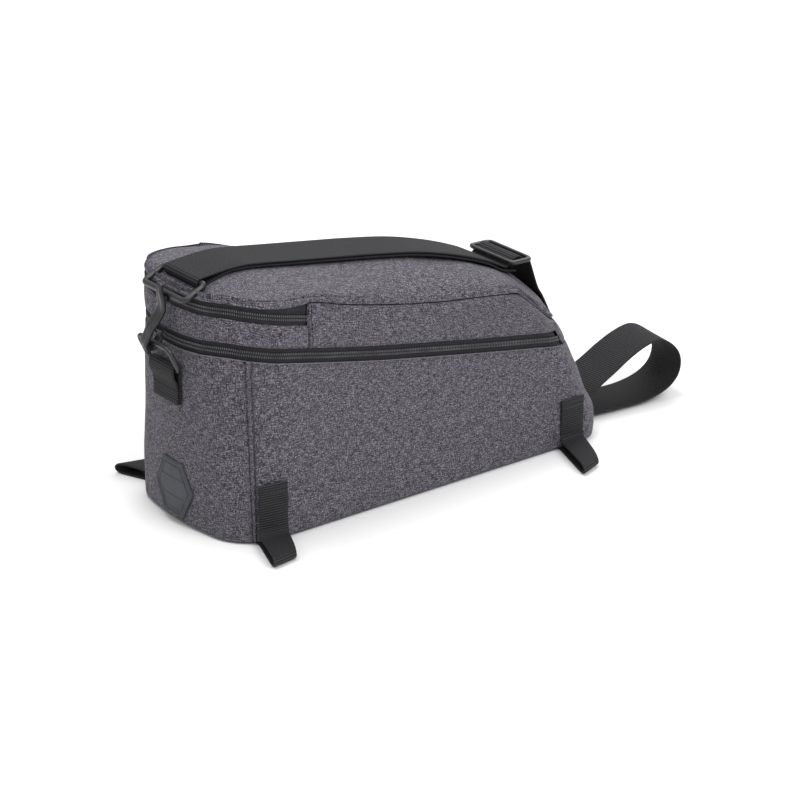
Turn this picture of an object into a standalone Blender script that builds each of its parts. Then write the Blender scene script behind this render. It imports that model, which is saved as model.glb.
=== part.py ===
"""A wedge-shaped bicycle trunk bag with two zips, a shoulder strap and webbing loops.

Metres, +Z up. +X runs from the bag's rear end to its narrow nose, -Y is the side that
the photograph shows. Lengths in the tables are shares of the named sizes.
"""
import math

import bpy
import numpy as np
from mathutils import Matrix, Vector
from mathutils.bvhtree import BVHTree

# Main body
BODY_LENGTH = 0.389      # rear panel's corners to the nose, at the floor
BODY_HEIGHT = 0.2155     # floor to the strap on the lid's crest
REAR_WIDTH = 0.1664
NOSE_WIDTH = 0.1200
REAR_RADIUS = 0.046      # upright corners of the rear end, at the lid
REAR_RADIUS_FOOT = 0.031  # the same at the floor
NOSE_RADIUS = 0.033
NOSE_RADIUS_FOOT = 0.021
REAR_BULGE = 0.011       # how far the rear panel bows out
NOSE_BULGE = 0.0045
SHELL = 0.003            # padded cloth of the body and the lid
BASE_THICK = 0.003
GAP = 0.0004             # clear space between neighbouring pieces

# Zips
ZIP_WIDTH = 0.0115       # tape and teeth, as seen between the cloth edges
ZIP_THICK = 0.0022
ZIP_PROUD = 0.0012       # how far the teeth stand out of the cloth
ZIP_REACH = 0.342        # where the lower zip ends on each side
SLIDER_PLACE = 0.80      # place of each slider as a share of its zip's reach
POCKET_REACH = 0.066     # where the upper zip ends on each side
SLIDER_LENGTH = 0.011
SLIDER_WIDTH = 0.008
SLIDER_THICK = 0.0028
PULL_LENGTH = 0.020
PULL_WIDTH = 0.0042
PULL_THICK = 0.0016

# Webbing
STRAP_WIDTH = 0.050
STRAP_THICK = 0.0018
TAB_WIDTH = 0.037
LOOP_WIDTH = 0.026
HANDLE_REACH = 0.1160    # the handle loop, out from the nose
HANDLE_RISE = 0.0595     # its top above the floor
WEB_THICK = 0.0018

# Hard plastic pieces
RING_WIRE = 0.0042
RING_RISE = 0.0205
EYE_WIDTH = 0.066
EYE_OFF = 0.0038         # the eye's lower bar stands this far off the rear end
EYE_DROP = 0.0095        # and lies this far under its upper bar
EYE_WIRE = 0.0050
HOOK_WIDTH = 0.0100
HOOK_THICK = 0.0050
SWIVEL_LENGTH = 0.0042
SWIVEL_WIDTH = 0.0074
CLAW_ROOM = 0.0024       # clear space round the ring's bar
CLAW_TIP = 0.0050        # straight end of the claw
GATE_RISE = 0.0150       # how far the gate reaches up from the claw
GATE_WIDTH = 0.0056
GATE_THICK = 0.0020
SLIDE_LENGTH = 0.024     # the strap adjuster, along the strap
SLIDE_RAIL = 0.0052
SLIDE_THICK = 0.0036

# Label
LABEL_SIDE = 0.0278
LABEL_THICK = 0.0014
LABEL_CENTRE = 0.0315

# height / BODY_HEIGHT, front / BODY_LENGTH
NOSE_ROWS = (
    (0.000, 0.995),
    (0.060, 1.000),
    (0.120, 0.997),
    (0.209, 0.970),
    (0.306, 0.950),
    (0.413, 0.926),
    (0.478, 0.908),
    (0.552, 0.880),
    (0.626, 0.846),
    (0.700, 0.805),
    (1.000, 0.740),
)

# x / BODY_LENGTH, top of the lower body (under the zip) / BODY_HEIGHT
BODY_RIM_ROWS = (
    (-0.030, 0.7080),
    (-0.020, 0.7200),
    (-0.008, 0.7340),
    (0.006, 0.7420),
    (0.050, 0.7290),
    (0.150, 0.6880),
    (0.230, 0.6560),
    (0.360, 0.6060),
    (0.525, 0.5510),
    (0.690, 0.4980),
    (0.880, 0.4400),
    (1.000, 0.4020),
)

# x / BODY_LENGTH, lower edge of the lid's zip / BODY_HEIGHT
POCKET_ROWS = (
    (-0.030, 0.864),
    (-0.015, 0.872),
    (0.005, 0.887),
    (0.040, 0.878),
    (0.103, 0.846),
    (0.170, 0.814),
    (1.000, 0.400),
)

# x / BODY_LENGTH, seam between the body and the lid / BODY_HEIGHT
SEAM_ROWS = (
    (-0.030, 0.9200),
    (-0.015, 0.9280),
    (0.005, 0.9430),
    (0.170, 0.9125),
    (0.283, 0.8570),
    (0.442, 0.7920),
    (0.551, 0.7570),
    (0.663, 0.7285),
    (0.756, 0.6970),
    (0.792, 0.6400),
    (0.828, 0.5750),
    (0.860, 0.5350),
    (0.900, 0.5100),
    (1.000, 0.5000),
)

# x / BODY_LENGTH, crest of the lid / BODY_HEIGHT
CREST_ROWS = (
    (0.000, 0.9750),
    (0.075, 0.9880),
    (0.110, 0.9860),
    (0.185, 0.9700),
    (0.285, 0.9480),
    (0.388, 0.9240),
    (0.519, 0.8915),
    (0.612, 0.8520),
    (0.660, 0.8265),
    (0.746, 0.7680),
    (0.800, 0.7230),
    (0.860, 0.6600),
)

# share of the way from the rim to the crest line: inward, then upward on the sides, at the
# rear end and at the nose
CROWN_ROWS = (
    (0.000, 0.160, 0.080, 0.050),
    (0.060, 0.350, 0.150, 0.150),
    (0.180, 0.560, 0.270, 0.400),
    (0.330, 0.740, 0.460, 0.580),
    (0.500, 0.870, 0.700, 0.740),
    (0.680, 0.950, 0.880, 0.870),
    (0.850, 0.990, 0.970, 0.960),
    (0.960, 1.000, 1.000, 1.000),
)

CREST_START = 0.105      # ends of the lid's crest line, as shares of BODY_LENGTH
CREST_END = 0.790
REAR_FLAT = 0.200        # how far forward the lid keeps the flatter form of its rear end
NOSE_STEEP = 0.780       # where the lid starts to take the straighter form of its nose

# Points of the outline of half the bag, in each stretch
REAR_STEPS = 4
REAR_CORNER_STEPS = 6
SIDE_STEPS = 18
NOSE_CORNER_STEPS = 5
NOSE_STEPS = 3

CLOTH = (0.105, 0.100, 0.106)
BLACK_WEB = (0.022, 0.022, 0.024)
BLACK_TAPE = (0.020, 0.020, 0.022)
PLASTIC = (0.030, 0.031, 0.033)
LABEL_GREY = (0.150, 0.165, 0.185)


def start_collection(name):
    """Empty the scene and make the collection for the bag's pieces."""
    for item in list(bpy.data.objects):
        bpy.data.objects.remove(item)
    group = bpy.data.collections.new(name)
    bpy.context.scene.collection.children.link(group)
    return group


def material(name, colour, roughness, metallic=0.0):
    """A Principled material of one colour."""
    mat = bpy.data.materials.new(name)
    mat.use_nodes = True
    shader = mat.node_tree.nodes["Principled BSDF"]
    shader.inputs["Base Color"].default_value = (*colour, 1.0)
    shader.inputs["Roughness"].default_value = roughness
    shader.inputs["Metallic"].default_value = metallic
    mat.diffuse_color = (*colour, 1.0)
    return mat


def add_mesh(group, name, points, faces, colour, roughness=0.9):
    """Make one object from points and faces."""
    mesh = bpy.data.meshes.new(name)
    mesh.from_pydata([tuple(map(float, p)) for p in points], [], faces)
    mesh.validate()
    obj = bpy.data.objects.new(name, mesh)
    group.objects.link(obj)
    obj.data.materials.append(material(name + "_material", colour, roughness))
    return obj


def thicken(obj, thickness):
    """Give a surface its thickness inwards, so that its outer side stays in place."""
    mod = obj.modifiers.new("thickness", "SOLIDIFY")
    mod.thickness = thickness
    mod.offset = -1.0
    mod.use_even_offset = True
    mod.use_quality_normals = True


def read_rows(rows, value, across, up):
    """Read a table of shares at a length: across and up are the sizes it is shared from."""
    table = np.asarray(rows)
    return np.interp(value, table[:, 0] * across, table[:, 1] * up)


def corner_radii(height):
    """Radii of the rear and nose corners, which grow from the foot to the lid."""
    share = np.clip(np.asarray(height) / (0.72 * BODY_HEIGHT), 0.0, 1.0)
    rear = REAR_RADIUS_FOOT + (REAR_RADIUS - REAR_RADIUS_FOOT) * share
    nose = NOSE_RADIUS_FOOT + (NOSE_RADIUS - NOSE_RADIUS_FOOT) * share
    return rear, nose


def half_outline(height, inset=0.0):
    """Near half of the plan outline, from the rear centre to the nose centre.

    height is one number or one number for each point, because the nose leans with it.
    """
    front = read_rows(NOSE_ROWS, height, BODY_HEIGHT, BODY_LENGTH) - inset
    rear = inset
    half = REAR_WIDTH / 2 - inset
    nose_half = NOSE_WIDTH / 2 - inset
    front = np.broadcast_to(np.asarray(front, float), (point_count(),))
    r, rn = corner_radii(np.broadcast_to(height, (point_count(),)))
    r = r - inset
    rn = rn - inset
    x = np.zeros(point_count())
    y = np.zeros(point_count())
    a = REAR_STEPS
    b = a + REAR_CORNER_STEPS
    c = b + len(side_shares()) - 1
    d = c + len(nose_turns()) - 1
    e = d + NOSE_STEPS
    x[:a + 1] = rear
    y[:a + 1] = -np.linspace(0.0, 1.0, a + 1) * (half - r[:a + 1])
    turn = np.linspace(0.0, math.pi / 2, REAR_CORNER_STEPS + 1)
    ra = r[a:b + 1]
    x[a:b + 1] = rear + ra - ra * np.cos(turn)
    y[a:b + 1] = -(half - ra) - ra * np.sin(turn)
    share = side_shares()
    side_start = rear + r[b:c + 1]
    x[b:c + 1] = side_start + share * (front[b:c + 1] - rn[b:c + 1] - side_start)
    y[b:c + 1] = -(half + (nose_half - half) * share)
    turn = nose_turns()
    rc = rn[c:d + 1]
    x[c:d + 1] = front[c:d + 1] - rc + rc * np.sin(turn)
    y[c:d + 1] = -(nose_half - rc) - rc * np.cos(turn)
    x[d:e + 1] = front[d:e + 1]
    y[d:e + 1] = -np.linspace(1.0, 0.0, NOSE_STEPS + 1) * (nose_half - rn[d:e + 1])
    bow = np.cos(np.clip(y / half, -1, 1) * math.pi / 2) ** 1.2
    near_rear = np.clip(1.0 - (x - rear) / (1.4 * r), 0.0, 1.0)
    x = x - REAR_BULGE * bow * near_rear
    bow = np.cos(np.clip(y / nose_half, -1, 1) * math.pi / 2)
    near_front = np.clip(1.0 - (front - x) / (1.2 * rn), 0.0, 1.0)
    x = x + NOSE_BULGE * bow * near_front
    return x, y


def with_pair(steps, place, apart):
    """Put two steps close together at one place, and drop the steps beside them."""
    if not steps[0] < place < steps[-1]:
        return steps
    clear = np.abs(steps - place) > 0.3 * (steps[1] - steps[0])
    clear[0] = clear[-1] = True
    return np.sort(np.concatenate([steps[clear], [place - apart, place + apart]]))


def side_shares():
    """Places of the outline's points along the straight side, closer where a zip ends."""
    shares = np.linspace(0.0, 1.0, SIDE_STEPS + 1)
    for reach, rim in ((POCKET_REACH, seam_rim), (ZIP_REACH, body_rim)):
        front = float(read_rows(NOSE_ROWS, rim(reach), BODY_HEIGHT, BODY_LENGTH))
        rear, nose = corner_radii(rim(reach))
        place = (reach - rear) / (front - nose - rear)
        shares = with_pair(shares, place, 0.003)
    return shares


def nose_turns():
    """Angles of the outline's points round the nose's corner, closer where the zip ends."""
    turns = np.linspace(0.0, math.pi / 2, NOSE_CORNER_STEPS + 1)
    front = float(read_rows(NOSE_ROWS, body_rim(ZIP_REACH), BODY_HEIGHT, BODY_LENGTH))
    nose = float(corner_radii(body_rim(ZIP_REACH))[1])
    share = (ZIP_REACH - front + nose) / nose
    if 0.0 < share < 1.0:
        turns = with_pair(turns, math.asin(share), 0.02)
    return turns


def point_count():
    """Points in half of the outline."""
    steps = len(side_shares()) + len(nose_turns()) - 2
    return REAR_STEPS + REAR_CORNER_STEPS + steps + NOSE_STEPS + 1


def up_to(reach, rim):
    """Which points of the whole outline lie on the rear side of a zip's end."""
    return rim_points(rim)[:, 0] < reach


def rim_points(rim, inset=0.0):
    """Points of the whole outline at the height that rim(x) gives, near half first."""
    z = np.full(point_count(), BODY_HEIGHT * 0.6)
    for _ in range(25):
        x, y = half_outline(z, inset)
        z = 0.5 * z + 0.5 * rim(x)
    x, y = half_outline(z, inset)
    near = np.stack([x, y, z], 1)
    far = near[-2:0:-1] * np.array([1.0, -1.0, 1.0])
    return np.concatenate([near, far])


def body_rim(x):
    """Height of the lower body's top edge."""
    return read_rows(BODY_RIM_ROWS, x, BODY_LENGTH, BODY_HEIGHT)


def pocket_rim(x):
    """Height of the cloth edge under the upper zip."""
    return read_rows(POCKET_ROWS, x, BODY_LENGTH, BODY_HEIGHT)


def seam_rim(x):
    """Height of the seam between the body and the lid."""
    return read_rows(SEAM_ROWS, x, BODY_LENGTH, BODY_HEIGHT)


def crest(x):
    """Height of the lid's crest line."""
    return read_rows(CREST_ROWS, x, BODY_LENGTH, BODY_HEIGHT)


def ring_grid(rings):
    """Points and quads of rings joined one above the other, closed round the bag."""
    count = len(rings[0])
    points = np.concatenate(rings)
    faces = []
    for k in range(len(rings) - 1):
        for i in range(count):
            j = (i + 1) % count
            faces.append((k * count + i, k * count + j, (k + 1) * count + j, (k + 1) * count + i))
    return points, faces


def between(low, high, shares):
    """Rings between two rims, on the leaning walls."""
    rings = []
    for share in shares:
        z = low[:, 2] + (high[:, 2] - low[:, 2]) * share
        half = point_count()
        x, y = half_outline(z[:half])
        near = np.stack([x, y, z[:half]], 1)
        far = near[-2:0:-1] * np.array([1.0, -1.0, 1.0])
        rings.append(np.concatenate([near, far]))
    return rings


def base_height():
    """The base lies on the lower runs of the webbing loops."""
    return WEB_THICK + GAP


def tub(group):
    """Lower body: the padded wall from the base to the lower zip."""
    bottom = base_height()
    low = rim_points(lambda x: np.full_like(x, bottom))
    high = rim_points(lambda x: body_rim(x) - GAP)
    rings = between(low, high, (0.0, 0.03, 0.2, 0.45, 0.72, 1.0))
    turned = rim_points(lambda x: np.full_like(x, bottom), inset=0.0015)
    rings[0] = turned
    points, faces = ring_grid(rings)
    obj = add_mesh(group, "lower_body", points, faces, CLOTH, 0.95)
    thicken(obj, SHELL)
    return obj


def base(group):
    """The base panel, inside the foot of the wall."""
    bottom = base_height()
    inset = SHELL + 0.0015 + GAP
    low = rim_points(lambda x: np.full_like(x, bottom), inset)
    high = rim_points(lambda x: np.full_like(x, bottom + BASE_THICK), inset)
    points, faces = ring_grid([low, high])
    count = len(low)
    for k in (0, count):
        order = list(range(k, k + count))
        half = point_count()
        near = order[:half]
        far = [order[0]] + order[half:][::-1] + [order[half - 1]]
        for i in range(half - 1):
            quad = (near[i], far[i], far[i + 1], near[i + 1])
            quad = tuple(dict.fromkeys(quad))
            faces.append(quad if k == 0 else quad[::-1])
    return add_mesh(group, "base_panel", points, faces, BLACK_TAPE, 0.85)


def zip_band(group, name, rim, reach, end_rim):
    """A zip round the rear end and along both sides, with proud teeth down its middle."""
    rows = ((0.0, 0.0), (0.28, 0.0), (0.40, 1.0), (0.60, 1.0), (0.72, 0.0), (1.0, 0.0))
    last = int(np.sum(up_to(reach, end_rim)[:point_count()])) - 1
    keep = np.concatenate([np.arange(-last, 0), np.arange(0, last + 1)])
    rings = []
    for share, proud in rows:
        ring = rim_points(lambda x, s=share: rim(x) + ZIP_WIDTH * s)
        nxt = np.roll(ring, -1, 0) - np.roll(ring, 1, 0)
        out = np.stack([nxt[:, 1], -nxt[:, 0], np.zeros(len(ring))], 1)
        out /= np.linalg.norm(out, axis=1)[:, None]
        push = ZIP_PROUD * proud - (ZIP_THICK * 0.15 if share in (0.0, 1.0) else 0.0)
        row = (ring + out * push)[keep]
        for end, inner in ((0, 1), (-1, -2)):
            run = row[inner] - row[end]
            row[end] = row[end] + run / np.linalg.norm(run) * 1.5 * GAP
        rings.append(row)
    count = len(rings[0])
    points = np.concatenate(rings)
    faces = []
    for k in range(len(rings) - 1):
        for i in range(count - 1):
            faces.append((k * count + i, k * count + i + 1,
                          (k + 1) * count + i + 1, (k + 1) * count + i))
    obj = add_mesh(group, name, points, faces, BLACK_TAPE, 0.7)
    thicken(obj, ZIP_THICK)
    return obj


def middle_band(group):
    """Cloth between the two zips, up to the lid's seam on the sides and the nose."""
    low_rim = rim_points(lambda x: body_rim(x) + GAP)
    zip_top = rim_points(lambda x: body_rim(x) + ZIP_WIDTH + GAP)
    over = up_to(ZIP_REACH, body_rim)[:, None]
    low = np.where(over, zip_top, low_rim)
    pocket = rim_points(lambda x: pocket_rim(x) - GAP)
    seam = rim_points(lambda x: seam_rim(x) - GAP)
    high = np.where(up_to(POCKET_REACH, seam_rim)[:, None], pocket, seam)
    rings = between(low, high, (0.0, 0.34, 0.67, 1.0))
    points, faces = ring_grid(rings)
    obj = add_mesh(group, "middle_band", points, faces, CLOTH, 0.95)
    thicken(obj, SHELL)
    return obj


def lid_rings():
    """Rings of the crowned lid from its rim to the crest line."""
    above_zip = rim_points(lambda x: pocket_rim(x) + ZIP_WIDTH + GAP)
    above_seam = rim_points(lambda x: seam_rim(x) + GAP)
    rim = np.where(up_to(POCKET_REACH, seam_rim)[:, None], above_zip, above_seam)
    start = CREST_START * BODY_LENGTH
    end = CREST_END * BODY_LENGTH
    share = (rim[:, 0] - rim[:, 0].min()) / np.ptp(rim[:, 0])
    straight = np.clip(rim[:, 0], start, end)
    cx = 0.9 * straight + 0.1 * (start + (end - start) * share)
    cz = crest(cx)
    rings = [rim]
    flat = np.clip(rim[:, 0] / (REAR_FLAT * BODY_LENGTH), 0.0, 1.0)
    steep = np.clip(rim[:, 0] / (NOSE_STEEP * BODY_LENGTH) - 1.0, 0.0, 0.1) * 10.0
    for inward, sides, rear, nose in CROWN_ROWS:
        upward = rear + (sides - rear) * flat + (nose - sides) * steep
        ring = above_seam.copy()
        ring[:, 0] = ring[:, 0] + (cx - ring[:, 0]) * inward
        ring[:, 1] = ring[:, 1] * (1.0 - inward)
        ring[:, 2] = ring[:, 2] + (cz - ring[:, 2]) * upward
        rings.append(ring)
    return rings


def lid_grid():
    """Points and faces of the lid's outer side."""
    rings = lid_rings()
    points, faces = ring_grid(rings)
    count = len(rings[0])
    half = point_count()
    first = (len(rings) - 1) * count
    near = [first + i for i in range(half)]
    far = [first] + [first + count - i for i in range(1, half - 1)] + [first + half - 1]
    for i in range(half - 1):
        quad = tuple(dict.fromkeys((near[i], near[i + 1], far[i + 1], far[i])))
        faces.append(quad)
    return points, faces


def lid(group):
    """The padded, crowned lid."""
    points, faces = lid_grid()
    obj = add_mesh(group, "lid", points, faces, CLOTH, 0.95)
    thicken(obj, SHELL)
    return obj


def unit(v):
    """Vectors of length one."""
    v = np.asarray(v, float)
    return v / np.linalg.norm(v, axis=-1, keepdims=True)


def smooth(points, tolerance=0.00012):
    """A smooth curve through a few points, with more points where it bends."""
    p = np.asarray(points, float)
    ends = np.concatenate([[2 * p[0] - p[1]], p, [2 * p[-1] - p[-2]]])
    out = []
    for i in range(1, len(ends) - 2):
        p0, p1, p2, p3 = ends[i - 1:i + 3]
        for t in np.linspace(0.0, 1.0, 10, endpoint=False):
            out.append(0.5 * (2 * p1 + (p2 - p0) * t + (2 * p0 - 5 * p1 + 4 * p2 - p3) * t * t
                              + (3 * p1 - p0 - 3 * p2 + p3) * t ** 3))
    out.append(p[-1])
    out = np.array(out)
    keep = {0, len(out) - 1}
    spans = [(0, len(out) - 1)]
    while spans:
        a, b = spans.pop()
        if b - a < 2:
            continue
        line = out[b] - out[a]
        size = max(float(np.linalg.norm(line)), 1e-9)
        away = out[a + 1:b] - out[a]
        part = np.clip(away @ line / size ** 2, 0.0, 1.0)
        off = np.linalg.norm(away - part[:, None] * line, axis=1)
        k = int(np.argmax(off))
        if off[k] > tolerance:
            keep.add(a + 1 + k)
            spans.append((a, a + 1 + k))
            spans.append((a + 1 + k, b))
    return out[sorted(keep)]


def ribbon(group, name, path, side, thickness, colour=BLACK_WEB, roughness=0.8):
    """Webbing along a path: side is half the width, one vector or one for each point."""
    path = np.asarray(path, float)
    side = np.broadcast_to(np.asarray(side, float), path.shape)
    n = len(path)
    legs = unit(np.diff(path, axis=0))
    along = np.concatenate([legs[:1], legs[:-1] + legs[1:], legs[-1:]])
    out = unit(np.cross(side, along)) * thickness / 2
    points = np.concatenate([path - side + out, path + side + out,
                             path + side - out, path - side - out])
    faces = []
    for i in range(n - 1):
        for k in range(4):
            a = k * n + i
            b = ((k + 1) % 4) * n + i
            faces.append((a, b, b + 1, a + 1))
    faces.append((0, 3 * n, 2 * n, n))
    faces.append((n - 1, 2 * n - 1, 3 * n - 1, 4 * n - 1))
    obj = add_mesh(group, name, points, faces, colour, roughness)
    turn_outward(obj)
    return obj


def turn_outward(obj):
    """Turn all faces of a closed mesh outwards."""
    mesh = obj.data
    points = np.array([v.co for v in mesh.vertices])
    volume = 0.0
    for poly in mesh.polygons:
        v = points[list(poly.vertices)]
        for k in range(1, len(v) - 1):
            volume += float(np.dot(v[0], np.cross(v[k], v[k + 1])))
    if volume < 0:
        mesh.flip_normals()


def rod(group, name, points, wire, closed=False, smooth_corners=0, colour=PLASTIC):
    """A round bar along straight runs with rounded corners."""
    p = [np.asarray(q, float) for q in points]
    out = []
    n = len(p)
    for i in range(n):
        if not closed and i in (0, n - 1):
            out.append(p[i])
            continue
        before = p[(i - 1) % n]
        after = p[(i + 1) % n]
        r = min(smooth_corners, 0.45 * np.linalg.norm(before - p[i]),
                0.45 * np.linalg.norm(after - p[i]))
        a = p[i] + unit(before - p[i]) * r
        b = p[i] + unit(after - p[i]) * r
        for t in (0.0, 0.33, 0.67, 1.0):
            out.append((1 - t) ** 2 * a + 2 * t * (1 - t) * p[i] + t * t * b)
    curve = bpy.data.curves.new(name, "CURVE")
    curve.dimensions = "3D"
    curve.bevel_depth = wire / 2
    curve.bevel_resolution = 2
    curve.use_fill_caps = not closed
    spline = curve.splines.new("POLY")
    spline.points.add(len(out) - 1)
    for target, q in zip(spline.points, out):
        target.co = (*q, 1.0)
    spline.use_cyclic_u = closed
    obj = bpy.data.objects.new(name, curve)
    group.objects.link(obj)
    curve.materials.append(material(name + "_material", colour, 0.4))
    return obj


def side_y(x, height=0.0):
    """Where the near side's cloth is, at a place along the bag and a height."""
    x_side, y_side = half_outline(height)
    return float(np.interp(x, x_side[REAR_STEPS:], y_side[REAR_STEPS:]))


def rear_x(y, height=0.0):
    """Where the rear panel's cloth is, at a place across the bag and a height."""
    x_side, y_side = half_outline(height)
    last = REAR_STEPS + REAR_CORNER_STEPS + 1
    return float(np.interp(abs(y), -y_side[:last], x_side[:last]))


# place along the bag, height of the sewn end, reach out on the floor, slant of the tongue,
# run back under the base, side (-1 near, 1 far)
LOOPS = {
    "loop_rear_near": (0.0290, 0.0525, 0.0415, -0.0165, 0.014, -1),
    "loop_rear_far": (0.0290, 0.0525, 0.0310, -0.0150, 0.014, 1),
    "loop_nose_near": (0.3525, 0.0460, 0.0545, -0.0215, 0.014, -1),
    "loop_nose_far": (0.3525, 0.0460, 0.0360, -0.0120, 0.014, 1),
}


def bottom_loop(group, name):
    """Webbing sewn to the side, which turns out into a flat loop and runs under the base."""
    place, top, reach, slant, under, hand = LOOPS[name]
    t = WEB_THICK
    near = GAP + t / 2
    across = np.linspace(-0.5, 0.5, 9) * LOOP_WIDTH
    wall = np.array([max(-side_y(place + q, 0.0), -side_y(place + q, top)) for q in across])
    taper = (wall[0] - wall[-1]) / LOOP_WIDTH
    low = t / 2 + 0.0002
    route = [(near, top), (near, 0.62 * top), (near, 0.30 * top), (near + 0.0012, 0.0125),
             (0.0065, 0.0088), (0.42 * reach, 0.0092), (0.76 * reach, 0.0094),
             (0.93 * reach, 0.0082), (reach, 0.0050), (0.93 * reach, low + 0.0010),
             (0.76 * reach, low), (0.40 * reach, low), (0.004, low), (-under, low)]
    route = smooth([(0.0, a, b) for a, b in route])
    route[:, 2] = np.maximum(route[:, 2], low)
    share = np.clip(route[:, 1] / reach, 0.0, 1.0)
    edge = float(np.max(wall + taper * across))
    path = np.stack([place + slant * share, (edge + route[:, 1]) * hand, route[:, 2]], 1)
    turn = math.atan(taper) + share * 0.35
    side = np.stack([np.cos(turn), -hand * np.sin(turn), np.zeros(len(turn))], 1) * LOOP_WIDTH / 2
    return ribbon(group, name, path, side, t)


def handle_loop(group):
    """The webbing loop that stands out of the nose, one flat band folded on itself."""
    t = STRAP_THICK
    root = BODY_LENGTH + NOSE_BULGE + GAP + t / 2
    r = HANDLE_REACH
    h = HANDLE_RISE
    route = [(-0.009, 0.261), (0.058, 0.362), (0.164, 0.507), (0.323, 0.674), (0.479, 0.841),
             (0.634, 0.964), (0.772, 1.000), (0.893, 0.891), (0.979, 0.710), (1.000, 0.507),
             (0.953, 0.312), (0.832, 0.167), (0.650, 0.094), (0.427, 0.091), (0.216, 0.109),
             (0.050, 0.145), (-0.009, 0.156)]
    route = [(root + a * r, b * h) for a, b in route]
    path = smooth([(a, 0.0, b) for a, b in route])
    lean = np.clip((path[:, 0] - root) / r, 0.0, 1.0) * 0.16
    side = np.stack([np.sin(lean), np.cos(lean), np.zeros(len(lean))], 1) * STRAP_WIDTH / 2
    return ribbon(group, "handle_loop", path, side, t)


def lid_surface(tree, x):
    """Greatest height of the lid under the strap's width, at a place along the bag."""
    heights = []
    for y in np.linspace(-0.5, 0.5, 7) * STRAP_WIDTH:
        hit = tree.ray_cast((x, y, 2 * BODY_HEIGHT), (0.0, 0.0, -1.0))[0]
        if hit is not None:
            heights.append(hit[2])
    return max(heights)


SLIDE_X = 0.823          # middle of the adjuster / BODY_LENGTH
SLIDE_Z = 0.775          # middle of the adjuster / BODY_HEIGHT
FOLD_X = 0.008           # the strap's fold round the hook's eye / BODY_LENGTH
FOLD_Z = 0.9750          # the same / BODY_HEIGHT
LAYER_GAP = 0.0007       # between the strap's layers and the lid


def strap(group):
    """Shoulder strap: a lower layer back to the hook's eye, round it, and out to the nose."""
    t = STRAP_THICK
    s = BODY_LENGTH
    h = BODY_HEIGHT
    bar = EYE_WIRE / 2 + GAP + t / 2
    fold = np.array([FOLD_X * s, 0.0, FOLD_Z * h])
    slide = np.array([SLIDE_X * s, 0.0, SLIDE_Z * h])
    places = (0.070, 0.110, 0.150, 0.230, 0.340, 0.450, 0.560, 0.660, 0.740)
    near = LAYER_GAP + t / 2
    points, faces = lid_grid()
    tree = BVHTree.FromPolygons([tuple(p) for p in points.tolist()], faces)
    stops = [slide[0] - 0.002, 0.780 * s] + [q * s for q in places[::-1]]
    lower = [(x, lid_surface(tree, x) + near) for x in stops]
    turn = [(fold[0] + bar * math.cos(a), fold[2] - bar * math.sin(a))
            for a in np.radians([80, 120, 160, 200, 240, 280])]
    upper = [(q * s, lid_surface(tree, q * s) + near + t + LAYER_GAP) for q in places]
    half = SLIDE_LENGTH / 2
    low = SLIDE_THICK * 0.14 + GAP + t / 2
    high = SLIDE_THICK * 0.25 + GAP + t / 2 + 0.0003
    over = [(slide[0] + half * a, slide[2] + b) for a, b in
            ((-1.10, -low - 0.0022), (-0.90, -low - 0.0014), (-0.70, -low - 0.0004),
             (-0.36, 0.45 * high), (-0.14, high), (0.14, high), (0.36, 0.45 * high),
             (0.70, -low - 0.0004), (0.90, -low - 0.0014), (1.10, -low - 0.0026))]
    down = [(0.878 * s, 0.646 * h), (0.893 * s, 0.600 * h), (0.908 * s, 0.545 * h),
            (0.921 * s, 0.490 * h), (0.940 * s, 0.420 * h), (0.962 * s, 0.350 * h),
            (0.982 * s, 0.285 * h), (0.999 * s, 0.230 * h), (1.0085 * s, 0.190 * h),
            (1.0115 * s, 0.160 * h)]
    route = lower + turn + upper + over + down
    path = smooth([(a, 0.0, b) for a, b in route])
    return ribbon(group, "shoulder_strap", path, (0.0, STRAP_WIDTH / 2, 0.0), t)


def join_boxes(group, name, boxes, colour=PLASTIC):
    """One solid from overlapping boxes given as (centre, size)."""
    obj = None
    for k, (centre, size) in enumerate(boxes):
        c = np.asarray(centre)
        d = np.asarray(size) / 2
        corner = [(x, y, z) for z in (-1, 1) for y in (-1, 1) for x in (-1, 1)]
        points = [c + d * np.array(q) for q in corner]
        faces = [(0, 2, 3, 1), (4, 5, 7, 6), (0, 1, 5, 4), (2, 6, 7, 3), (0, 4, 6, 2), (1, 3, 7, 5)]
        piece = add_mesh(group if k == 0 else cutters(), name if k == 0 else name + str(k),
                         points, faces, colour, 0.4)
        if k == 0:
            obj = piece
            continue
        piece.hide_render = True
        piece.display_type = "WIRE"
        mod = obj.modifiers.new("join" + str(k), "BOOLEAN")
        mod.operation = "UNION"
        mod.solver = "EXACT"
        mod.object = piece
    return obj


def cutters():
    """Collection for the pieces that only shape others."""
    group = bpy.data.collections.get("shaping")
    if group is None:
        group = bpy.data.collections.new("shaping")
        bpy.context.scene.collection.children.link(group)
    return group


def adjuster(group):
    """Three-bar slide: two end bars, a middle bar under the strap and two side rails."""
    s = np.array([SLIDE_X * BODY_LENGTH, 0.0, SLIDE_Z * BODY_HEIGHT])
    inner = STRAP_WIDTH + 0.003
    rail = SLIDE_RAIL
    half = SLIDE_LENGTH / 2
    outer = inner + 2 * rail
    t = SLIDE_THICK
    bar = 0.0032
    boxes = [((s[0], -(inner + rail) / 2, s[2]), (SLIDE_LENGTH, rail, t)),
             ((s[0], (inner + rail) / 2, s[2]), (SLIDE_LENGTH, rail, t)),
             ((s[0], 0.0, s[2] - t * 0.10), (bar, outer - 0.001, t * 0.7)),
             ((s[0] - half + bar / 2, 0.0, s[2] + t * 0.16), (bar, outer - 0.001, t * 0.6)),
             ((s[0] + half - bar / 2, 0.0, s[2] + t * 0.16), (bar, outer - 0.001, t * 0.6))]
    return join_boxes(group, "strap_adjuster", boxes)


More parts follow.
